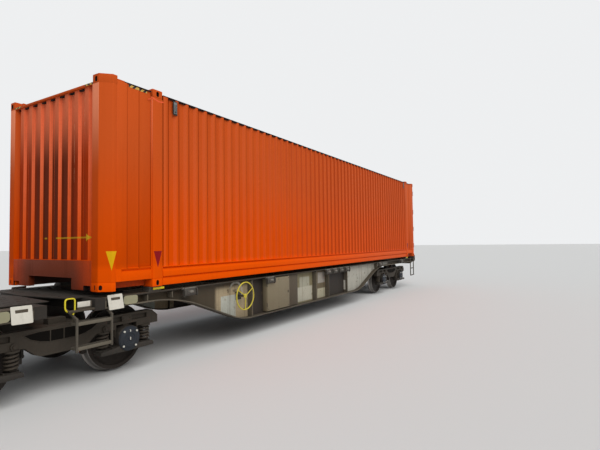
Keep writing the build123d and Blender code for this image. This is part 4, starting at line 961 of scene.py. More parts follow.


# ---- Air reservoirs: welded tanks with domed ends slung across the wagon between the cross members, each
# on two brackets with straps, with a drain cock.
tank_black = finish("tank_black", (46, 44, 42), (70, 62, 52), rust=(96, 58, 36), cover=0.5, runs=0.1,
                    splash=0.3, foot=0.5, top=1.0, spots=0.25, gloss=0.45)
tank_z = 0.830
bm = bmesh.new()
for tank_x, radius, half, *bracket in ((5.200, 0.150, 0.480, 5.330, 5.897), (6.800, 0.190, 0.560, 6.097, 6.630)):
    dome = [(half - 0.075 + 0.075 * math.sin(a), radius * math.cos(a)) for a in map(math.radians, range(15, 91, 15))]
    outline = [(0.0, radius), (half - 0.080, radius), (half - 0.079, radius + 0.003), (half - 0.074, radius + 0.003),
               (half - 0.073, radius), *dome]
    outline = [(-along, reach) for along, reach in reversed(outline[1:])] + outline
    turned(bm, outline, (tank_x, 0, tank_z), "Y", steps=40)
    for y in (-0.300, 0.300):
        block(bm, (bracket[0], y - 0.015, 0.800), (bracket[1], y + 0.015, 0.860), 0.004)
        strap = [(y - 0.022, radius), (y - 0.022, radius + 0.004), (y + 0.022, radius + 0.004), (y + 0.022, radius)]
        turned(bm, strap, (tank_x, 0, tank_z), "Y", steps=40)
    cock_y, cock_z = half - 0.20, tank_z - radius
    bars(bm, "Z", [(tank_x, cock_y)], cock_z - 0.040, cock_z + 0.002, 0.012, sides=12)
    bars(bm, "X", [(cock_y, cock_z - 0.030)], tank_x - 0.030, tank_x + 0.030, 0.006, sides=10)
on_both("air_tanks", bm, [tank_black], "tank_black", "air_reservoirs")


# ---- Container side walls: folded steel sheet between the 40 ft posts, a flat pressed panel at each end,
# all in orange paint that is paler towards the roof as painted sky reflection, with painted shade in the folds.
box_front, box_rear = 0.385, 14.101
box_half, rail_inner = 1.275, 1.205
roof_z, wall_low, wall_high, sheet_high = 4.038, 1.473, 3.978, 4.019
folds_span, fold_pitch = (1.3585, 13.1275), 0.2115
fold_count = int((folds_span[1] - folds_span[0]) / fold_pitch)
first_fold = folds_span[0] + (folds_span[1] - folds_span[0]) % fold_pitch / 2
end_spans = ((0.563, 1.1425), (13.3435, 13.923))
crease_x = (0.736, 0.933, 1.139)


def orange_with_painted_sky(tree):
    """Orange that is deeper low down, paler and pinker towards the roof as painted sky reflection, brighter near its
    foot, and paler and less strong towards the doors.
    """
    place, split = object_place(tree)
    drift = noise(tree, place, 0.7)
    level = sums(tree, "MULTIPLY_ADD", less(tree, drift, 0.5), 0.8, split[2])
    tone = mixed(tree, ramp(tree, level, 1.5, 3.4), shade(218, 76, 0), shade(200, 84, 34))
    tone = mixed(tree, ramp(tree, split[2], 1.46, 1.56, 0.6, 0.0), tone, shade(246, 88, 0))
    return mixed(tree, ramp(tree, split[0], 3.0, 12.0, 0.0, 0.42), tone, shade(196, 98, 62))


def facing(tree):
    """The surface's direction, as its X, Y and Z sockets."""
    return node(tree, "ShaderNodeSeparateXYZ", {0: node(tree, "ShaderNodeTexCoord").outputs["Normal"]}).outputs


def near(tree, value, centre, start, end, strength=1.0):
    """Full strength within start of the centre, falling to nothing at end."""
    return ramp(tree, sums(tree, "ABSOLUTE", less(tree, value, centre)), start, end, strength, 0.0)


def folded_orange(tree):
    """The side's orange with painted shade along the inner corners of the folds and in the end panels' creases, and a
    painted highlight on the folds' flanks.
    """
    along, _, height = object_place(tree)[1]
    share = sums(tree, "FRACT", sums(tree, "DIVIDE", less(tree, along, first_fold), fold_pitch))
    corner = between(tree, share, (0.06, 0.12), (0.27, 0.37))
    flank_highlight = between(tree, share, (0.70, 0.74), (0.88, 0.92))
    start, end = folds_span
    in_folds = between(tree, along, (start, start + 0.01), (end - 0.01, end))
    # Painted shade in each fold's inner corner, stronger higher up
    line = times(tree, corner, in_folds, ramp(tree, height, 1.7, 2.7, 0.38, 0.72))
    # Painted highlight on the flank that faces the front
    lit = times(tree, flank_highlight, in_folds, 0.12)
    from_rear = less(tree, box_front + box_rear, along)
    # Painted shade in the end panels' creases
    for x, strength in zip(crease_x, (0.35, 0.5, 0.7)):
        for reach in (along, from_rear):
            line = sums(tree, "MAXIMUM", line, near(tree, reach, x, 0.008, 0.013, strength))
    tone = mixed(tree, line, mixed(tree, lit, orange_with_painted_sky(tree), shade(250, 128, 84)), shade(142, 44, 2))
    # Painted shade: the folds' slopes that face the front are darker, more so towards the doors
    slope = ramp(tree, facing(tree)[0], -0.60, -0.35, 1.0, 0.0)
    return mixed(tree, times(tree, slope, ramp(tree, along, 2.5, 7.5, 0.0, 0.70)), tone, shade(150, 46, 8))


def orange(name, colour_from, clean=(224, 78, 8), grime=(150, 62, 12), **changes):
    """The container's paint over a given colour, a little soiled towards its foot."""
    worn = dict(rust=(104, 52, 26), cover=0.12, runs=0.15, splash=0.06, foot=1.0, top=1.9, spots=0.02, gloss=0.5,
                bump=0.0003, specular=0.02)
    return finish(name, clean, grime, colour_from=colour_from, **{**worn, **changes})


def fold_path(start, end, pitch, depth, shares=(0.10, 0.28, 0.72, 0.90)):
    """A folded sheet's corners from start to end: (along, how far it is sunk)."""
    count = int((end - start) / pitch)
    margin = (end - start - count * pitch) / 2
    path = [(start, 0.0)]
    for number in range(count):
        left = start + margin + number * pitch
        path += [(left + share * pitch, sunk) for share, sunk in zip(shares, (0.0, depth, depth, 0.0))]
    return path + [(end, 0.0)]


def folded_sheet(bm, path, place, low, high, back=0.012, thick=0.004):
    """A folded sheet with rounded folds, stood up from low to high. place gives (x, y) from (along, sunk)."""
    outer = [point[:2] for point in rounded([(along, sunk, 0.0) for along, sunk in path], back, steps=3)]
    inner = [(along, sunk + thick) for along, sunk in reversed(outer)]
    plate(bm, [place(along, sunk) for along, sunk in outer + inner], "Z", low, high)


def box_piece(name, bm, materials, node_ending, **settings):
    """A finished part of the container's body, which rides on the loaded platform."""
    piece(f"box_{name}", bm, "loaded_platform", materials, "container_orange", [f"box_{node_ending}"], **settings)


orange_paint = orange("orange_paint", orange_with_painted_sky, runs=0.12)
painted_recess_shade = finish("painted_recess_shade", (34, 16, 10), (20, 12, 8), cover=0.5, runs=0.0, splash=0.0, gloss=0.8)
sheet_paint = orange("sheet_paint", folded_orange)
for side, sign in (("right", -1), ("left", 1)):
    bm = bmesh.new()
    folded_sheet(bm, fold_path(*folds_span, fold_pitch, 0.036), lambda along, sunk: (along, 1.273 - sunk),
                 wall_low, sheet_high)
    for start, end in end_spans:
        steps = [(start, 1.273), (start + 0.168, 1.273), (start + 0.177, 1.265), (start + 0.365, 1.265),
                 (start + 0.374, 1.257), (end, 1.257), (end, 1.237), (start, 1.237)]
        if (start, end) == end_spans[1]:
            steps = [(start + end - x, y) for x, y in reversed(steps)]
        plate(bm, steps, "Z", wall_low, sheet_high, edge=0.0015)
        block(bm, (start + 0.084, 1.262, wall_low - 0.002), (end, 1.2748, wall_low + 0.010), 0.002, steps=1)
    # Butt welds between the sheets
    for number in range(1, 10):
        bars(bm, "Z", [(1.4266 + 5.5 * number * fold_pitch, 1.2372)], wall_low + 0.002, wall_high - 0.002, 0.0030)
    # Dark blocks as painted shade in the gap between the sheet's upper edge and the roof, deeper over each recess
    for start, end in ((0.690, 1.1425), folds_span, (13.3435, 13.796)):
        block(bm, (start, 1.215, sheet_high), (end, 1.2715, roof_z - 0.004), 0.001, steps=1, material=1)
    for number in range(fold_count):
        left = first_fold + number * fold_pitch
        block(bm, (left + 0.030, 1.236, sheet_high - 0.012), (left + 0.182, 1.262, sheet_high + 0.001), 0.001,
              steps=1, material=1)
    if sign < 0:
        both_sides(bm)
        bmesh.ops.delete(bm, geom=[vert for vert in bm.verts if vert.co.y > 0], context="VERTS")
    box_piece(f"sheet_{side}", bm, [sheet_paint, painted_recess_shade], f"side_wall_{side}", sharp=50)


# ---- Container front wall and sill: deep upright folds between the chamfered posts, over a box sill that is
# cut away for the gooseneck tunnel. The yellow width arrow is painted across the folds and the post.
arrow_z, arrow_tip, arrow_base, arrow_end, arrow_gap = 1.902, -0.921, -0.852, 0.240, (-0.126, 0.105)
scratches = ((-0.797, 3.41, 3.84), (-0.556, 2.66, 3.77))


def arrow_mask(tree):
    """1 on the yellow arrow line with its head, a little worn, 0 elsewhere."""
    place, split = object_place(tree)
    rise = sums(tree, "ABSOLUTE", less(tree, split[2], arrow_z))
    inside = between(tree, split[1], (arrow_base - 0.02, arrow_base - 0.018), (arrow_end, arrow_end + 0.002))
    start, end = arrow_gap
    outside = sums(tree, "ADD", ramp(tree, split[1], start - 0.001, start + 0.001, 1.0, 0.0),
                   ramp(tree, split[1], end - 0.001, end + 0.001), clamp=True)
    line = times(tree, ramp(tree, rise, 0.0100, 0.0120, 0.72, 0.0), inside, outside)
    share = sums(tree, "DIVIDE", less(tree, split[1], arrow_tip), arrow_base - arrow_tip)
    head = ramp(tree, less(tree, rise, times(tree, share, 0.052)), -0.001, 0.001, 1.0, 0.0)
    head = times(tree, head, ramp(tree, share, 1.0, 1.01, 1.0, 0.0), ramp(tree, share, -0.01, 0.0))
    front_only = ramp(tree, split[0], 0.455, 0.460, 1.0, 0.0)
    wear = ramp(tree, noise(tree, place, 30.0, 6.0, 0.7), 0.28, 0.40, 0.35, 1.0)
    return times(tree, sums(tree, "MAXIMUM", line, head), front_only, wear)


def front_orange(tree):
    """The front's orange: painted shade, browner towards the middle, a paler, pinker top as painted sky reflection and
    a painted highlight on the flanks; two scraped folds and the arrow.
    """
    place, (_, across_y, height) = object_place(tree)
    reach = sums(tree, "ABSOLUTE", across_y)
    # Painted shade, darker and browner towards the middle; paler and pinker at the top as painted sky reflection
    grime_and_shade = mixed(tree, ramp(tree, reach, 0.25, 0.92), shade(104, 40, 20), shade(176, 52, 0))
    grime_and_shade = mixed(tree, ramp(tree, height, 2.9, 3.8, 0.0, 0.85), grime_and_shade, shade(250, 128, 88))
    # Painted highlight on the fold flanks that face the sides, pinker higher up
    painted_flank_light = mixed(tree, ramp(tree, height, 1.7, 3.2), shade(238, 92, 22), shade(248, 118, 76))
    flank = ramp(tree, sums(tree, "ABSOLUTE", facing(tree)[1]), 0.25, 0.70)
    tone = mixed(tree, flank, grime_and_shade, painted_flank_light)
    dashes = ramp(tree, noise(tree, stretched(tree, place, (90.0, 90.0, 11.0))), 0.46, 0.52)
    for at_y, low, high in scratches:
        span = between(tree, height, (low, low + 0.02), (high - 0.02, high))
        scratch = times(tree, near(tree, across_y, at_y, 0.006, 0.009), span, dashes)
        tone = mixed(tree, scratch, tone, shade(236, 158, 120))
    return mixed(tree, arrow_mask(tree), tone, shade(214, 172, 40))


def sill_orange(tree):
    """The front paint, darker and browner away from the near corner: painted shade with road film."""
    reach = sums(tree, "ABSOLUTE", object_place(tree)[1][1])
    return mixed(tree, ramp(tree, reach, 0.55, 1.02), shade(128, 54, 28), shade(208, 70, 6))


def carved(bm, cutter):
    """bm with the cutter's volume taken out of it, the new walls in material 1, which is painted shade."""
    coat(cutter.faces, 1)
    pair = []
    for source in (bm, cutter):
        bmesh.ops.recalc_face_normals(source, faces=source.faces)
        mesh = bpy.data.meshes.new("carving")
        source.to_mesh(mesh)
        mesh.materials.append(orange_paint)
        mesh.materials.append(painted_recess_shade)
        pair.append(bpy.data.objects.new("carving", mesh))
        scene.collection.objects.link(pair[-1])
        source.free()
    taken = pair[0].modifiers.new("taken", "BOOLEAN")
    taken.operation = "DIFFERENCE"
    taken.solver = "EXACT"
    taken.object = pair[1]
    made = bmesh.new()
    made.from_object(pair[0], bpy.context.evaluated_depsgraph_get())
    for obj in pair:
        mesh = obj.data
        bpy.data.objects.remove(obj)
        bpy.data.meshes.remove(mesh)
    return made


front_paint = orange("front_paint", front_orange, grime=(104, 50, 30), cover=0.25, runs=0.25, splash=0.1, foot=1.1,
                     spots=0.03)
post_y, post_face, corner_face = 0.970, 1.008, 1.148
front_pitch, front_base = 0.2405, 0.449
bm = bmesh.new()
folds = fold_path(-post_y, post_y, front_pitch, -0.038, (0.20, 0.31, 0.69, 0.80))
folded_sheet(bm, folds, lambda along, sunk: (front_base + sunk, along), 1.593, 3.953, back=0.006)
# Dark blocks under the header over each fold are painted shade
for number in range(-4, 5):
    middle = number * front_pitch
    reach = 0.070 if abs(number) < 4 else 0.008
    if number % 3 == 0:
        bars(bm, "Z", [(front_base + 0.0005, middle)], 1.60, 3.95, 0.003)
    block(bm, (front_base - 0.028, middle - reach, 3.930), (front_base + 0.001, middle + reach, 3.9525), 0.001,
          steps=1, material=1)
box_piece("front_sheet", bm, [front_paint, painted_recess_shade], "front_wall", sharp=50)

sill_low, sill_high, tunnel_half, tunnel_z = 1.193, 1.593, 0.560, 1.355
sill_outline = [(-post_face, sill_low), (-tunnel_half, sill_low), (-tunnel_half, tunnel_z), (tunnel_half, tunnel_z),
                (tunnel_half, sill_low), (post_face, sill_low), (post_face, sill_high), (-post_face, sill_high)]
bm = bmesh.new()
plate(bm, sill_outline, "X", box_front, 0.475, edge=0.005, steps=3)
cutter = bmesh.new()
for y in (-0.911, 0.911):
    block(cutter, (0.350, y - 0.078, 1.192), (0.450, y + 0.078, 1.258))
bm = carved(bm, cutter)
# Rolled lip on the sill's top edge and round the tunnel's mouth
block(bm, (0.3852, -post_face, 1.5900), (0.4100, post_face, 1.5990), 0.0025, material=2)
for first, second in zip(sill_outline[1:4], sill_outline[2:5]):
    rod(bm, (0.389, *first), (0.389, *second), 0.0055, sides=10)
sill_paint = orange("sill_paint", sill_orange, (208, 70, 6), (84, 42, 26), cover=0.4, runs=0.3, splash=0.3,
                    foot=1.1, top=1.7, spots=0.05, specular=0.12)
box_piece("sill", bm, [sill_paint, painted_recess_shade, orange_paint], "front_sill")


# ---- Container posts: chamfered corner posts at the front and 40 ft posts in the walls, pressed from thick
# plate; with the yellow and dark red triangle marks for the crane's driver.
chamfer_long, chamfer_wide = 0.124, 0.127
chamfer_end = box_front + chamfer_long
post_low, post_high = 1.301, 3.961
triangle_yellow = finish("triangle_yellow", (222, 170, 4), (150, 112, 30), cover=0.15, runs=0.1, gloss=0.45,
                         specular=0.12, splash=0.0)
triangle_red = finish("triangle_red", (138, 18, 26), (90, 24, 26), cover=0.15, runs=0.1, gloss=0.45, specular=0.1,
                      splash=0.0)
worn_lip_highlight = finish("worn_lip_highlight", (238, 96, 58), (196, 84, 52), cover=0.3, runs=0.0, splash=0.0, gloss=0.5, specular=0.1)


def film(bm, points, lift=0.0008, material=0):
    """A thin painted shape lifted off the surface through its points."""
    face = bm.faces.new([bm.verts.new(point) for point in points])
    face.normal_update()
    face.material_index = material
    coat(linked(swept(bm, [face], face.normal * lift)[1], "faces"), material)


def chamfer(x):
    """Half width of the container at x on the chamfer."""
    return corner_face + (x - box_front) * chamfer_wide / chamfer_long


def post_orange(tree):
    """The orange with its painted sky, and a pale painted sky reflection on the front face under the roof."""
    height = object_place(tree)[1][2]
    pale = times(tree, ramp(tree, height, 2.7, 3.9), ramp(tree, facing(tree)[0], -0.95, -0.80, 0.85, 0.0))
    return mixed(tree, pale, orange_with_painted_sky(tree), shade(255, 156, 118))


def side_film(bm, corners, material):
    """A painted shape flat on the side, from its (x, z) corners."""
    film(bm, [(x, box_half + 0.0002, z) for x, z in reversed(corners)], material=material)


post_paint = orange("post_paint", post_orange)
corner_post = [(0.452, post_y), (box_front, post_face), (box_front, corner_face), (chamfer_end, box_half),
               (0.563, box_half), (0.563, rail_inner), (0.475, post_y)]
bm = bmesh.new()
plate(bm, corner_post, "Z", post_low, post_high, edge=0.006, steps=3)
for x in forty_foot:
    slab(bm, x, 0.108, (rail_inner, box_half - 0.012), (post_low, post_high), 0.004)
    slab(bm, x, 0.090, (1.255, box_half), (post_low, post_high), 0.005, steps=3)
    side_film(bm, [(x - 0.068, 1.697), (x + 0.076, 1.697), (x + 0.006, 1.457)], 2)
film(bm, [(0.503, chamfer(0.503) + 0.0003, 1.459), (chamfer_end, box_half + 0.0002, 1.497),
          (chamfer_end, box_half + 0.0002, 1.713), (0.452, chamfer(0.452) + 0.0003, 1.713)], material=1)
side_film(bm, [(chamfer_end, 1.713), (0.571, 1.713), (chamfer_end, 1.497)], 1)
both_sides(bm)
# Painted highlight of a worn lip under the upper casting on the near side
for lip in ([(1.150, 3.944), (1.166, 3.950), (1.275, 3.921), (1.358, 3.933), (1.358, 3.912), (1.270, 3.903),
             (1.152, 3.930)], [(1.074, 3.902), (1.134, 3.925), (1.134, 3.914), (1.085, 3.892)]):
    film(bm, [(x, -box_half - 0.0003 if x > 1.14 else -1.2733, z) for x, z in lip], material=3)
box_piece("post_pressings", bm, [post_paint, triangle_yellow, triangle_red, worn_lip_highlight], "posts")


# ---- Container castings: cast steel corner blocks with oblong sockets, chamfered at the front, painted like
# the rest, with painted shade inside the sockets.
def oblong(bm, centre, half_long, half_short, long_axis, through, depth):
    """An oblong cutter centred on a face, depth into it along the through axis on both sides."""
    outline = []
    for step in range(24):
        angle = math.tau * step / 24
        reach = (half_long - half_short) * (1 if math.cos(angle) >= 0 else -1)
        outline.append((reach + half_short * math.cos(angle), half_short * math.sin(angle)))
    axes = [name for name in "XYZ" if name != through]
    if axes[0] != long_axis:
        outline = [(b, a) for a, b in outline]
    at = dict(zip("XYZ", centre))
    outline = [(at[axes[0]] + a, at[axes[1]] + b) for a, b in outline]
    plate(bm, outline, through, at[through] - depth, at[through] + depth)


cast_height, cast_length, cast_inner, box_height = 0.118, 0.178, 1.057, 2.896
low_casting = [(0.400, post_y), (0.400, 1.004), (box_front, post_face), (box_front, corner_face),
               (chamfer_end, box_half), (0.563, box_half), (0.563, cast_inner), (0.535, post_y)]
high_casting = [(0.480, post_y), (0.480, 1.018), (0.383, 1.018), (0.383, corner_face - 0.002), (chamfer_end, box_half),
                (0.578, box_half), (0.578, cast_inner), (0.535, post_y)]
bm = bmesh.new()
for low_z, (centre_x, place) in product((seat_z, seat_z + box_height - cast_height), (
        (0.474, "front"), (forty_foot[0], "forty"), (forty_foot[1], "forty"), (14.012, "rear"))):
    top = low_z > seat_z
    high_z, hole_z = low_z + cast_height, low_z + cast_height / 2 - 0.004
    body, cutter = bmesh.new(), bmesh.new()
    if place != "front":
        slab(body, centre_x, cast_length / 2, (cast_inner, box_half), (low_z, high_z), 0.008, steps=3)
        oblong(cutter, (centre_x, box_half, hole_z), 0.0385, 0.025, "Z", "Y", 0.040)
    elif top:
        plate(body, high_casting, "Z", low_z - 0.006, high_z, edge=0.006, steps=3)
        oblong(cutter, (box_front, 1.094, hole_z - 0.006), 0.038, 0.025, "Z", "X", 0.030)
    else:
        # Socket in the chamfer, and a slot in the front face
        plate(body, low_casting, "Z", low_z, high_z, edge=0.006, steps=3)
        own = bmesh.new()
        oblong(own, (0.0, 0.0, 0.0), 0.033, 0.022, "Z", "Y", 0.030)
        turn = Matrix.Rotation(math.atan2(chamfer_wide, chamfer_long), 4, "Z")
        joined(cutter, own, Matrix.Translation((0.408, chamfer(0.408), hole_z)) @ turn)
        oblong(cutter, (box_front, 1.084, hole_z), 0.032, 0.010, "Z", "X", 0.030)
    if place == "rear":
        oblong(cutter, (box_rear, 1.180, hole_z), 0.045, 0.030, "Y", "X", 0.040)
    depth = 0.091 if place == "forty" and not top else 0.026
    oblong(cutter, (centre_x, spigot_y, high_z if top else low_z), 0.062, 0.032, "X", "Z", depth)
    joined(bm, carved(body, cutter))
both_sides(bm)
box_piece("corner_castings", bm, [orange_paint, painted_recess_shade], "castings")


# ---- Container rails: pressed bottom rails with a lip, a sloped ledge and a set-back foot, box top rails and
# the front header, with yellow and black warning stripes near the front corner.
rail_profile = [(rail_inner, 0.008), (1.252, 0.008), (1.254, 0.112), (1.236, 0.116), (1.236, 0.130), (1.270, 0.139),
                (1.270, 0.214), (1.262, 0.236), (1.262, 0.250), (1.240, 0.254), (1.240, 0.272), (box_half, 0.278),
                (box_half, 0.290), (rail_inner, 0.290)]
end_profile = [(rail_inner, 0.120), (1.262, 0.120), (1.264, 0.252), (1.246, 0.256), (1.246, 0.272), (1.266, 0.276),
               (1.266, 0.290), (rail_inner, 0.290)]
stripe_yellow = finish("stripe_yellow", (222, 180, 92), (120, 92, 40), cover=0.3, runs=0.2, gloss=0.5, specular=0.1,
                       splash=0.0)
stripe_black = finish("stripe_black", (26, 26, 28), (60, 54, 48), cover=0.2, runs=0.1, gloss=0.4, splash=0.0)


def warning_stripes(bm, low, high, bottom, top, place, lean=0.034, pitch=0.088):
    """Yellow ground with black leaning bars. place turns (along, up, lift) into a point."""
    film(bm, [place(a, b, 0.0004) for a, b in ((low, bottom), (high, bottom), (high, top), (low, top))], material=1)
    start = low - lean
    while start < high:
        foot = [max(low, min(high, start + along)) for along in (0.0, pitch / 2)]
        tip = [max(low, min(high, start + lean + along)) for along in (0.0, pitch / 2)]
        if foot[1] - foot[0] > 0.004 and tip[1] - tip[0] > 0.004:
            film(bm, [place(foot[0], bottom, 0.0013), place(foot[1], bottom, 0.0013), place(tip[1], top, 0.0013),
                      place(tip[0], top, 0.0013)], lift=0.0004, material=2)
        start += pitch


bm = bmesh.new()
plate(bm, [(y, seat_z + z) for y, z in rail_profile], "X", *folds_span, edge=0.0022, steps=2)
for (start, end), flush in zip(end_spans, (0.563, 13.839)):
    plate(bm, [(y, seat_z + z) for y, z in end_profile], "X", start, end, edge=0.0022, steps=2)
    # The first stretch is flush with the post, and a web hangs inside the rail
    block(bm, (flush, 1.255, seat_z + 0.121), (flush + 0.084, 1.273, wall_low + 0.004), 0.0015, steps=1)
    block(bm, (start + 0.004, 1.116, 1.208), (end - 0.004, 1.122, 1.300), 0.001, steps=1, material=1)
# Stiffener welded under each 40 ft post
for x in forty_foot:
    block(bm, (x + 0.112, rail_inner + 0.004, seat_z + 0.014), (x + 0.150, 1.250, seat_z + 0.110), 0.003)
both_sides(bm)
box_piece("bottom_rail_pressings", bm, [orange_paint, sill_paint], "bottom_rails")

bm = bmesh.new()
for start, end in (end_spans[0], folds_span, end_spans[1]):
    block(bm, (start, rail_inner, roof_z - 0.060), (end, 1.2365, roof_z), 0.004)
for start, end in ((0.563, 0.690), (13.796, 13.923)):
    block(bm, (start, 1.230, sheet_high - 0.002), (end, 1.273, roof_z), 0.004)
both_sides(bm)
# The header slopes back to the roof over its upright front face
header = [(box_front, 3.952), (box_front, 3.983), (0.398, 3.991), (0.475, roof_z), (0.475, 3.952)]
plate(bm, header, "Y", -1.020, 1.020, edge=0.002, steps=2)
for low_x, high_x, face_y in ((0.757, 0.931, 1.2655), (0.943, 1.072, 1.2575)):
    warning_stripes(bm, low_x, high_x, 3.980, 4.016, lambda a, b, lift: (a, -face_y - lift, b))
    warning_stripes(bm, -high_x, -low_x, 3.980, 4.016, lambda a, b, lift: (-a, face_y + lift, b))
warning_stripes(bm, -1.018, -0.838, 3.955, 3.982, lambda a, b, lift: (box_front - lift, a, b))
warning_stripes(bm, -1.018, -0.838, 3.955, 3.982, lambda a, b, lift: (box_front - lift, -a, b))
box_piece("top_rail_boxes", bm, [orange_paint, stripe_yellow, stripe_black], "top_rails")


# ---- Container roof: one sheet between the rails with shallow pressed ridges across it, notched round the
# castings.
def pressed(bm, rings):
    """Nested rectangles joined into one pressed sheet; each ring is (low x, high x, low y, high y, height)."""
    made = [[bm.verts.new((x, y, z)) for x, y in ((x1, y1), (x2, y1), (x2, y2), (x1, y2))]
            for x1, x2, y1, y2, z in rings]
    for outer, inner in zip(made, made[1:]):
        for number in range(4):
            after = (number + 1) % 4
            bm.faces.new((outer[number], outer[after], inner[after], inner[number]))
    bm.faces.new(made[0])
    bm.faces.new(made[-1])


roof_start, roof_end, ridge_count, ridge_half = 0.475, 13.923, 24, 0.110
half_roof = [(roof_start, post_y), (0.563, post_y), (0.563, rail_inner)]
for x in forty_foot:
    half_roof += [(x - 0.089, rail_inner), (x - 0.089, cast_inner), (x + 0.089, cast_inner), (x + 0.089, rail_inner)]
half_roof.append((roof_end, rail_inner))
bm = bmesh.new()
plate(bm, half_roof + [(x, -y) for x, y in reversed(half_roof)], "Z", 4.016, 4.030)
for number in range(ridge_count):
    x = roof_start + (number + 0.5) * (roof_end - roof_start) / ridge_count
    pressed(bm, [(x - ridge_half + inset, x + ridge_half - inset, -0.940 + inset, 0.940 - inset, height)
                 for inset, height in ((0.0, 4.026), (0.006, 4.032), (0.020, 4.041), (0.034, 4.043))])
roof_paint = finish("roof_paint", (206, 84, 34), (132, 82, 56), rust=(110, 58, 30), cover=0.5, runs=0.0,
                    splash=0.0, spots=0.12, gloss=0.5, bump=0.0003, specular=0.12)
box_piece("roof_sheet", bm, [roof_paint], "roof")


# ---- Container floor and its cross beams: plywood boards screwed to steel beams, worn in the middle; the
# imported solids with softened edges.
def plywood(tree):
    """Board colour: sheets with dark joints, long grain and a scuffed lane in the middle."""
    place, split = object_place(tree)
    boards = node(tree, "ShaderNodeTexBrick", {
        "Vector": place, "Color1": shade(136, 104, 70), "Color2": shade(122, 92, 60), "Mortar": shade(46, 34, 24),
        "Scale": 1.0, "Mortar Size": 0.003, "Brick Width": 2.40, "Row Height": 0.60}, offset=0.0)
    grain = noise(tree, stretched(tree, place, (1.5, 26.0, 26.0)), detail=7.0)
    reach = sums(tree, "ABSOLUTE", split[1])
    scuffed = mixed(tree, ramp(tree, reach, 0.4, 1.0, 0.45, 0.0), boards.outputs[0], shade(92, 78, 62))
    return mixed(tree, ramp(tree, grain, 0.35, 0.65), scuffed, shade(104, 78, 50))


floor_wood = finish("floor_wood", (130, 100, 66), (70, 58, 46), cover=0.35, runs=0.0, splash=0.0, spots=0.0,
                    gloss=0.55, bump=0.0005, colour_from=plywood)
underframe_dark = finish("underframe_dark", (76, 40, 28), (46, 33, 27), rust=(96, 52, 30), cover=0.6, runs=0.2,
                         splash=0.2, foot=0.9, top=1.6, spots=0.4, gloss=0.6)
for holder in nodes["box_floor"].material_slots:
    holder.material = floor_wood
soften("box_floor_beams", 0.003, underframe_dark)


# ---- Container door frame: folded corner posts, header and sill of box section, with the hinge lugs, their
# pins and the keepers for the lock rods' cams.
door_low, door_high, door_edge = 1.391, 3.951, 1.190
hinge_x, hinge_y, blade = 14.117, 1.262, 0.045
hinge_heights = [seat_z + z for z in (0.420, 1.080, 1.760, 2.500)]
rod_spots, rod_x = (0.330, 0.890), 14.123
zinc = finish("rod_zinc", (150, 152, 154), (98, 92, 84), rust=(112, 70, 44), cover=0.45, runs=0.2, splash=0.1,
              spots=0.3, gloss=0.4, metallic=0.6)
rear_post = [(13.923, 1.165), (13.923, box_half), (14.059, box_half), (box_rear, 1.233), (box_rear, door_edge + 0.008),
             (14.031, door_edge + 0.008), (14.031, 1.165)]
lug = [(14.081, 1.210), (hinge_x + 0.014, 1.242), (hinge_x + 0.014, 1.268), (14.124, 1.274), (14.081, 1.250)]
bm = bmesh.new()
plate(bm, rear_post, "Z", post_low, post_high, edge=0.005, steps=3)
for pin_z in hinge_heights:
    low_z, high_z = pin_z - blade, pin_z + blade
    for lug_z in (low_z - 0.034, high_z + 0.008):
        plate(bm, lug, "Z", lug_z, lug_z + 0.026, edge=0.002)
    for start, end, radius in ((low_z - 0.038, high_z + 0.038, 0.008), (high_z + 0.034, high_z + 0.042, 0.012)):
        bars(bm, "Z", [(hinge_x, hinge_y)], start, end, radius, sides=16, material=1)
both_sides(bm)
for half, low_z, high_z in ((cast_inner, door_high + 0.008, roof_z), (cast_inner, 1.193, door_low - 0.008),
                            (1.165, post_low, door_low - 0.008)):
    block(bm, (13.923, -half, low_z), (14.091, half, high_z), 0.005, steps=3)
for y, (low_z, high_z) in product((*rod_spots, *[-y for y in rod_spots]),
                                  ((1.330, door_low - 0.012), (door_high + 0.012, 4.010))):
    for jaw_y in (y - 0.042, y + 0.026):
        block(bm, (14.089, jaw_y, low_z), (14.140, jaw_y + 0.016, high_z), 0.003)
    block(bm, (14.089, y - 0.042, low_z), (14.101, y + 0.042, high_z), 0.003)
box_piece("door_portal", bm, [orange_paint, zinc], "door_frame")


# ---- Container doors: two leaves of welded rails round a folded panel, with a rubber gasket and four
# forged hinge blades each, and a blank data plate on the left one.
rubber = finish("gasket_rubber", (30, 30, 32), (66, 60, 54), cover=0.4, runs=0.1, splash=0.1, gloss=0.6)
outer_x, panel_folds = 14.093, 5
stile, rail_height = 0.100, 0.120
panel_low = door_low + rail_height
fold_height = (door_high - door_low - 2 * rail_height) / panel_folds
gasket_inner, gasket_outer = 0.002, door_edge + 0.004
gasket_low, gasket_high = door_low - 0.004, door_high + 0.004
hinge_strap = [(14.091, 1.120), (14.112, 1.116), (14.120, 1.124), (14.127, hinge_y - 0.004),
               (14.115, hinge_y - 0.004), (14.108, 1.200), (14.108, 1.188), (14.091, 1.188)]


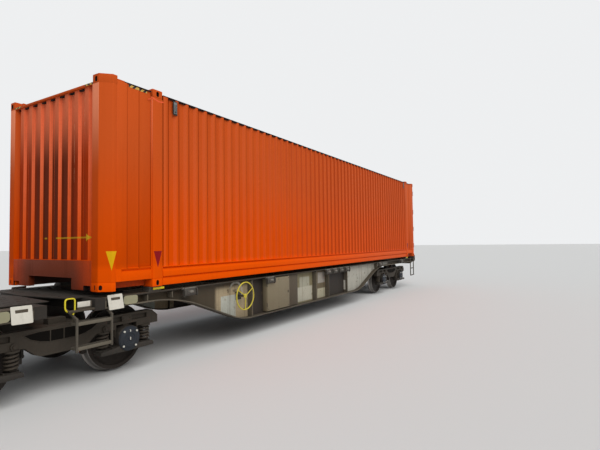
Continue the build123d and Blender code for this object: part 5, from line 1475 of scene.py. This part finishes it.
def left_leaf():
    """The left leaf, shut."""
    bm = bmesh.new()
    for low_y in (0.006, door_edge - stile):
        block(bm, (outer_x - 0.050, low_y, door_low), (outer_x, low_y + stile, door_high), 0.005, steps=3)
    for low_z in (door_low, door_high - rail_height):
        block(bm, (outer_x - 0.050, 0.100, low_z), (outer_x - 0.001, door_edge - 0.095, low_z + rail_height), 0.004)
    path = [(outer_x - 0.010, panel_low - 0.004, 0.0)]
    for number in range(panel_folds):
        path += [(outer_x - depth, panel_low + (number + share) * fold_height, 0.0)
                 for share, depth in ((0.18, 0.010), (0.26, 0.038), (0.74, 0.038), (0.82, 0.010))]
    path.append((outer_x - 0.010, door_high - rail_height + 0.004, 0.0))
    face = [point[:2] for point in rounded(path, 0.014, steps=3)]
    plate(bm, face + [(x - 0.006, z) for x, z in reversed(face)], "Y", 0.100, door_edge - 0.095)
    # Gasket: a lip on the face and a bulb in the joint, right round the leaf
    for low_y, low_z, high_y, high_z in (
            (gasket_inner, gasket_low, gasket_inner + 0.012, gasket_high),
            (gasket_outer - 0.012, gasket_low, gasket_outer, gasket_high),
            (gasket_inner, gasket_low, gasket_outer, gasket_low + 0.012),
            (gasket_inner, gasket_high - 0.012, gasket_outer, gasket_high)):
        block(bm, (outer_x - 0.030, low_y, low_z), (outer_x + 0.002, high_y, high_z), 0.0015, steps=1, material=1)
    for pin_z in hinge_heights:
        low, high = pin_z - blade, pin_z + blade
        plate(bm, hinge_strap, "Z", low, high, edge=0.003, steps=2)
        sleeve = [(low, 0.0085), (low, 0.0112), (high, 0.0112), (high, 0.0085), (low, 0.0085)]
        turned(bm, sleeve, (hinge_x, hinge_y, 0), "Z", steps=20, material=2)
        bars(bm, "X", [(1.142, pin_z - 0.024), (1.142, pin_z + 0.024)], 14.108, 14.126, 0.010, material=2)
    return bm


for side, sign in (("left", 1), ("right", -1)):
    bm = left_leaf()
    if sign > 0:
        block(bm, (outer_x - 0.012, 0.420, 1.720), (outer_x - 0.0075, 0.600, 1.860), 0.001, steps=1, material=3)
        bars(bm, "X", product((0.430, 0.590), (1.730, 1.850)), outer_x - 0.009, outer_x - 0.006, 0.004, sides=8,
             material=2)
    else:
        bmesh.ops.scale(bm, vec=(1, -1, 1), verts=bm.verts)
    piece(f"box_door_leaf_{side}", bm, f"door_{side}", [orange_paint, rubber, zinc, plate_white],
          "container_orange", [f"box_door_{side}"])


# ---- Lock rods: zinc-plated tubes with cams at both ends, in bolted bearings, each with a flat handle in
# its retainer; two on each leaf.
bearings = [(door_low + 0.090, outer_x), (panel_low + fold_height, outer_x - 0.010),
            (panel_low + 3 * fold_height, outer_x - 0.010), (door_high - 0.090, outer_x)]
handle_z = panel_low + 2 * fold_height
cam = [(14.104, -0.020), (14.140, -0.024), (14.148, 0.0), (14.140, 0.024), (14.104, 0.020)]
grip = [(0.020, -0.016), (0.020, 0.016), (-0.170, 0.016), (-0.205, 0.010), (-0.240, 0.010), (-0.240, -0.014),
        (-0.205, -0.016)]
hasp = [(outer_x - 0.004, 0.020), (rod_x + 0.022, 0.020), (rod_x + 0.024, -0.004), (rod_x + 0.019, -0.004),
        (rod_x + 0.017, 0.028), (outer_x - 0.004, 0.028)]
bm = bmesh.new()
for y in rod_spots:
    bars(bm, "Z", [(rod_x, y)], door_low + 0.012, door_high - 0.012, 0.016, sides=24)
    for low_z in (door_low, door_high - 0.042):
        plate(bm, [(x, y + a) for x, a in cam], "Z", low_z, low_z + 0.042, edge=0.003)
    for z, face_x in bearings:
        block(bm, (face_x, y - 0.045, z - 0.030), (face_x + 0.008, y + 0.045, z + 0.030), 0.002)
        arch = [(face_x + 0.004, y - 0.024), (rod_x + 0.004, y - 0.023), (rod_x + 0.014, y - 0.017),
                (rod_x + 0.021, y), (rod_x + 0.014, y + 0.017), (rod_x + 0.004, y + 0.023), (face_x + 0.004, y + 0.024)]
        plate(bm, arch, "Z", z - 0.020, z + 0.020, edge=0.002)
        bars(bm, "X", [(y - 0.034, z), (y + 0.034, z)], face_x + 0.006, face_x + 0.018, 0.0085)
    # Handle hub, flat handle with a bent grip, and the retainer with its hasp
    block(bm, (rod_x - 0.016, y - 0.026, handle_z - 0.034), (rod_x + 0.022, y + 0.026, handle_z + 0.034), 0.004)
    plate(bm, [(y + a, handle_z + b) for a, b in grip], "X", rod_x + 0.004, rod_x + 0.018, edge=0.003, steps=2)
    block(bm, (outer_x - 0.010, y - 0.215, handle_z - 0.045), (outer_x - 0.002, y - 0.165, handle_z + 0.045), 0.002)
    block(bm, (outer_x - 0.004, y - 0.208, handle_z - 0.028), (rod_x + 0.004, y - 0.172, handle_z - 0.018), 0.002)
    plate(bm, [(x, handle_z + b) for x, b in hasp], "Y", y - 0.205, y - 0.175, edge=0.001)
for side, sign in (("left", 1), ("right", -1)):
    own = bm.copy()
    bmesh.ops.scale(own, vec=(1, sign, 1), verts=own.verts)
    piece(f"box_lock_bars_{side}", own, f"door_{side}", [zinc], "rod_zinc", [f"box_lock_rods_{side}"])
bm.free()


# ---- Ventilators: small grey louvred hoods in a dark frame, high on the side walls next to the 40 ft posts.
vent_grey = finish("vent_grey", (120, 124, 126), (84, 80, 74), cover=0.4, runs=0.3, splash=0.0, gloss=0.5)
vent_dark = finish("vent_dark", (44, 42, 40), (58, 52, 46), cover=0.4, runs=0.2, splash=0.0, gloss=0.6)
bm = bmesh.new()
for x in (1.588, 12.898):
    slab(bm, x, 0.043, (1.268, 1.2825), (3.784, 3.998), 0.004, material=1)
    slab(bm, x, 0.029, (1.280, 1.285), (3.806, 3.984), 0.002)
    slab(bm, x, 0.014, (1.284, 1.2866), (3.818, 3.838), 0.001, material=1)
    for number in range(7):
        z = 3.824 + number * 0.019
        plate(bm, [(1.2842, z), (1.2866, z + 0.002), (1.2846, z + 0.010)], "X", x - 0.025, x + 0.025, material=1)
both_sides(bm)
piece("box_vent_hoods", bm, "loaded_platform", [vent_grey, vent_dark], "vent_grey", ["box_vents"])
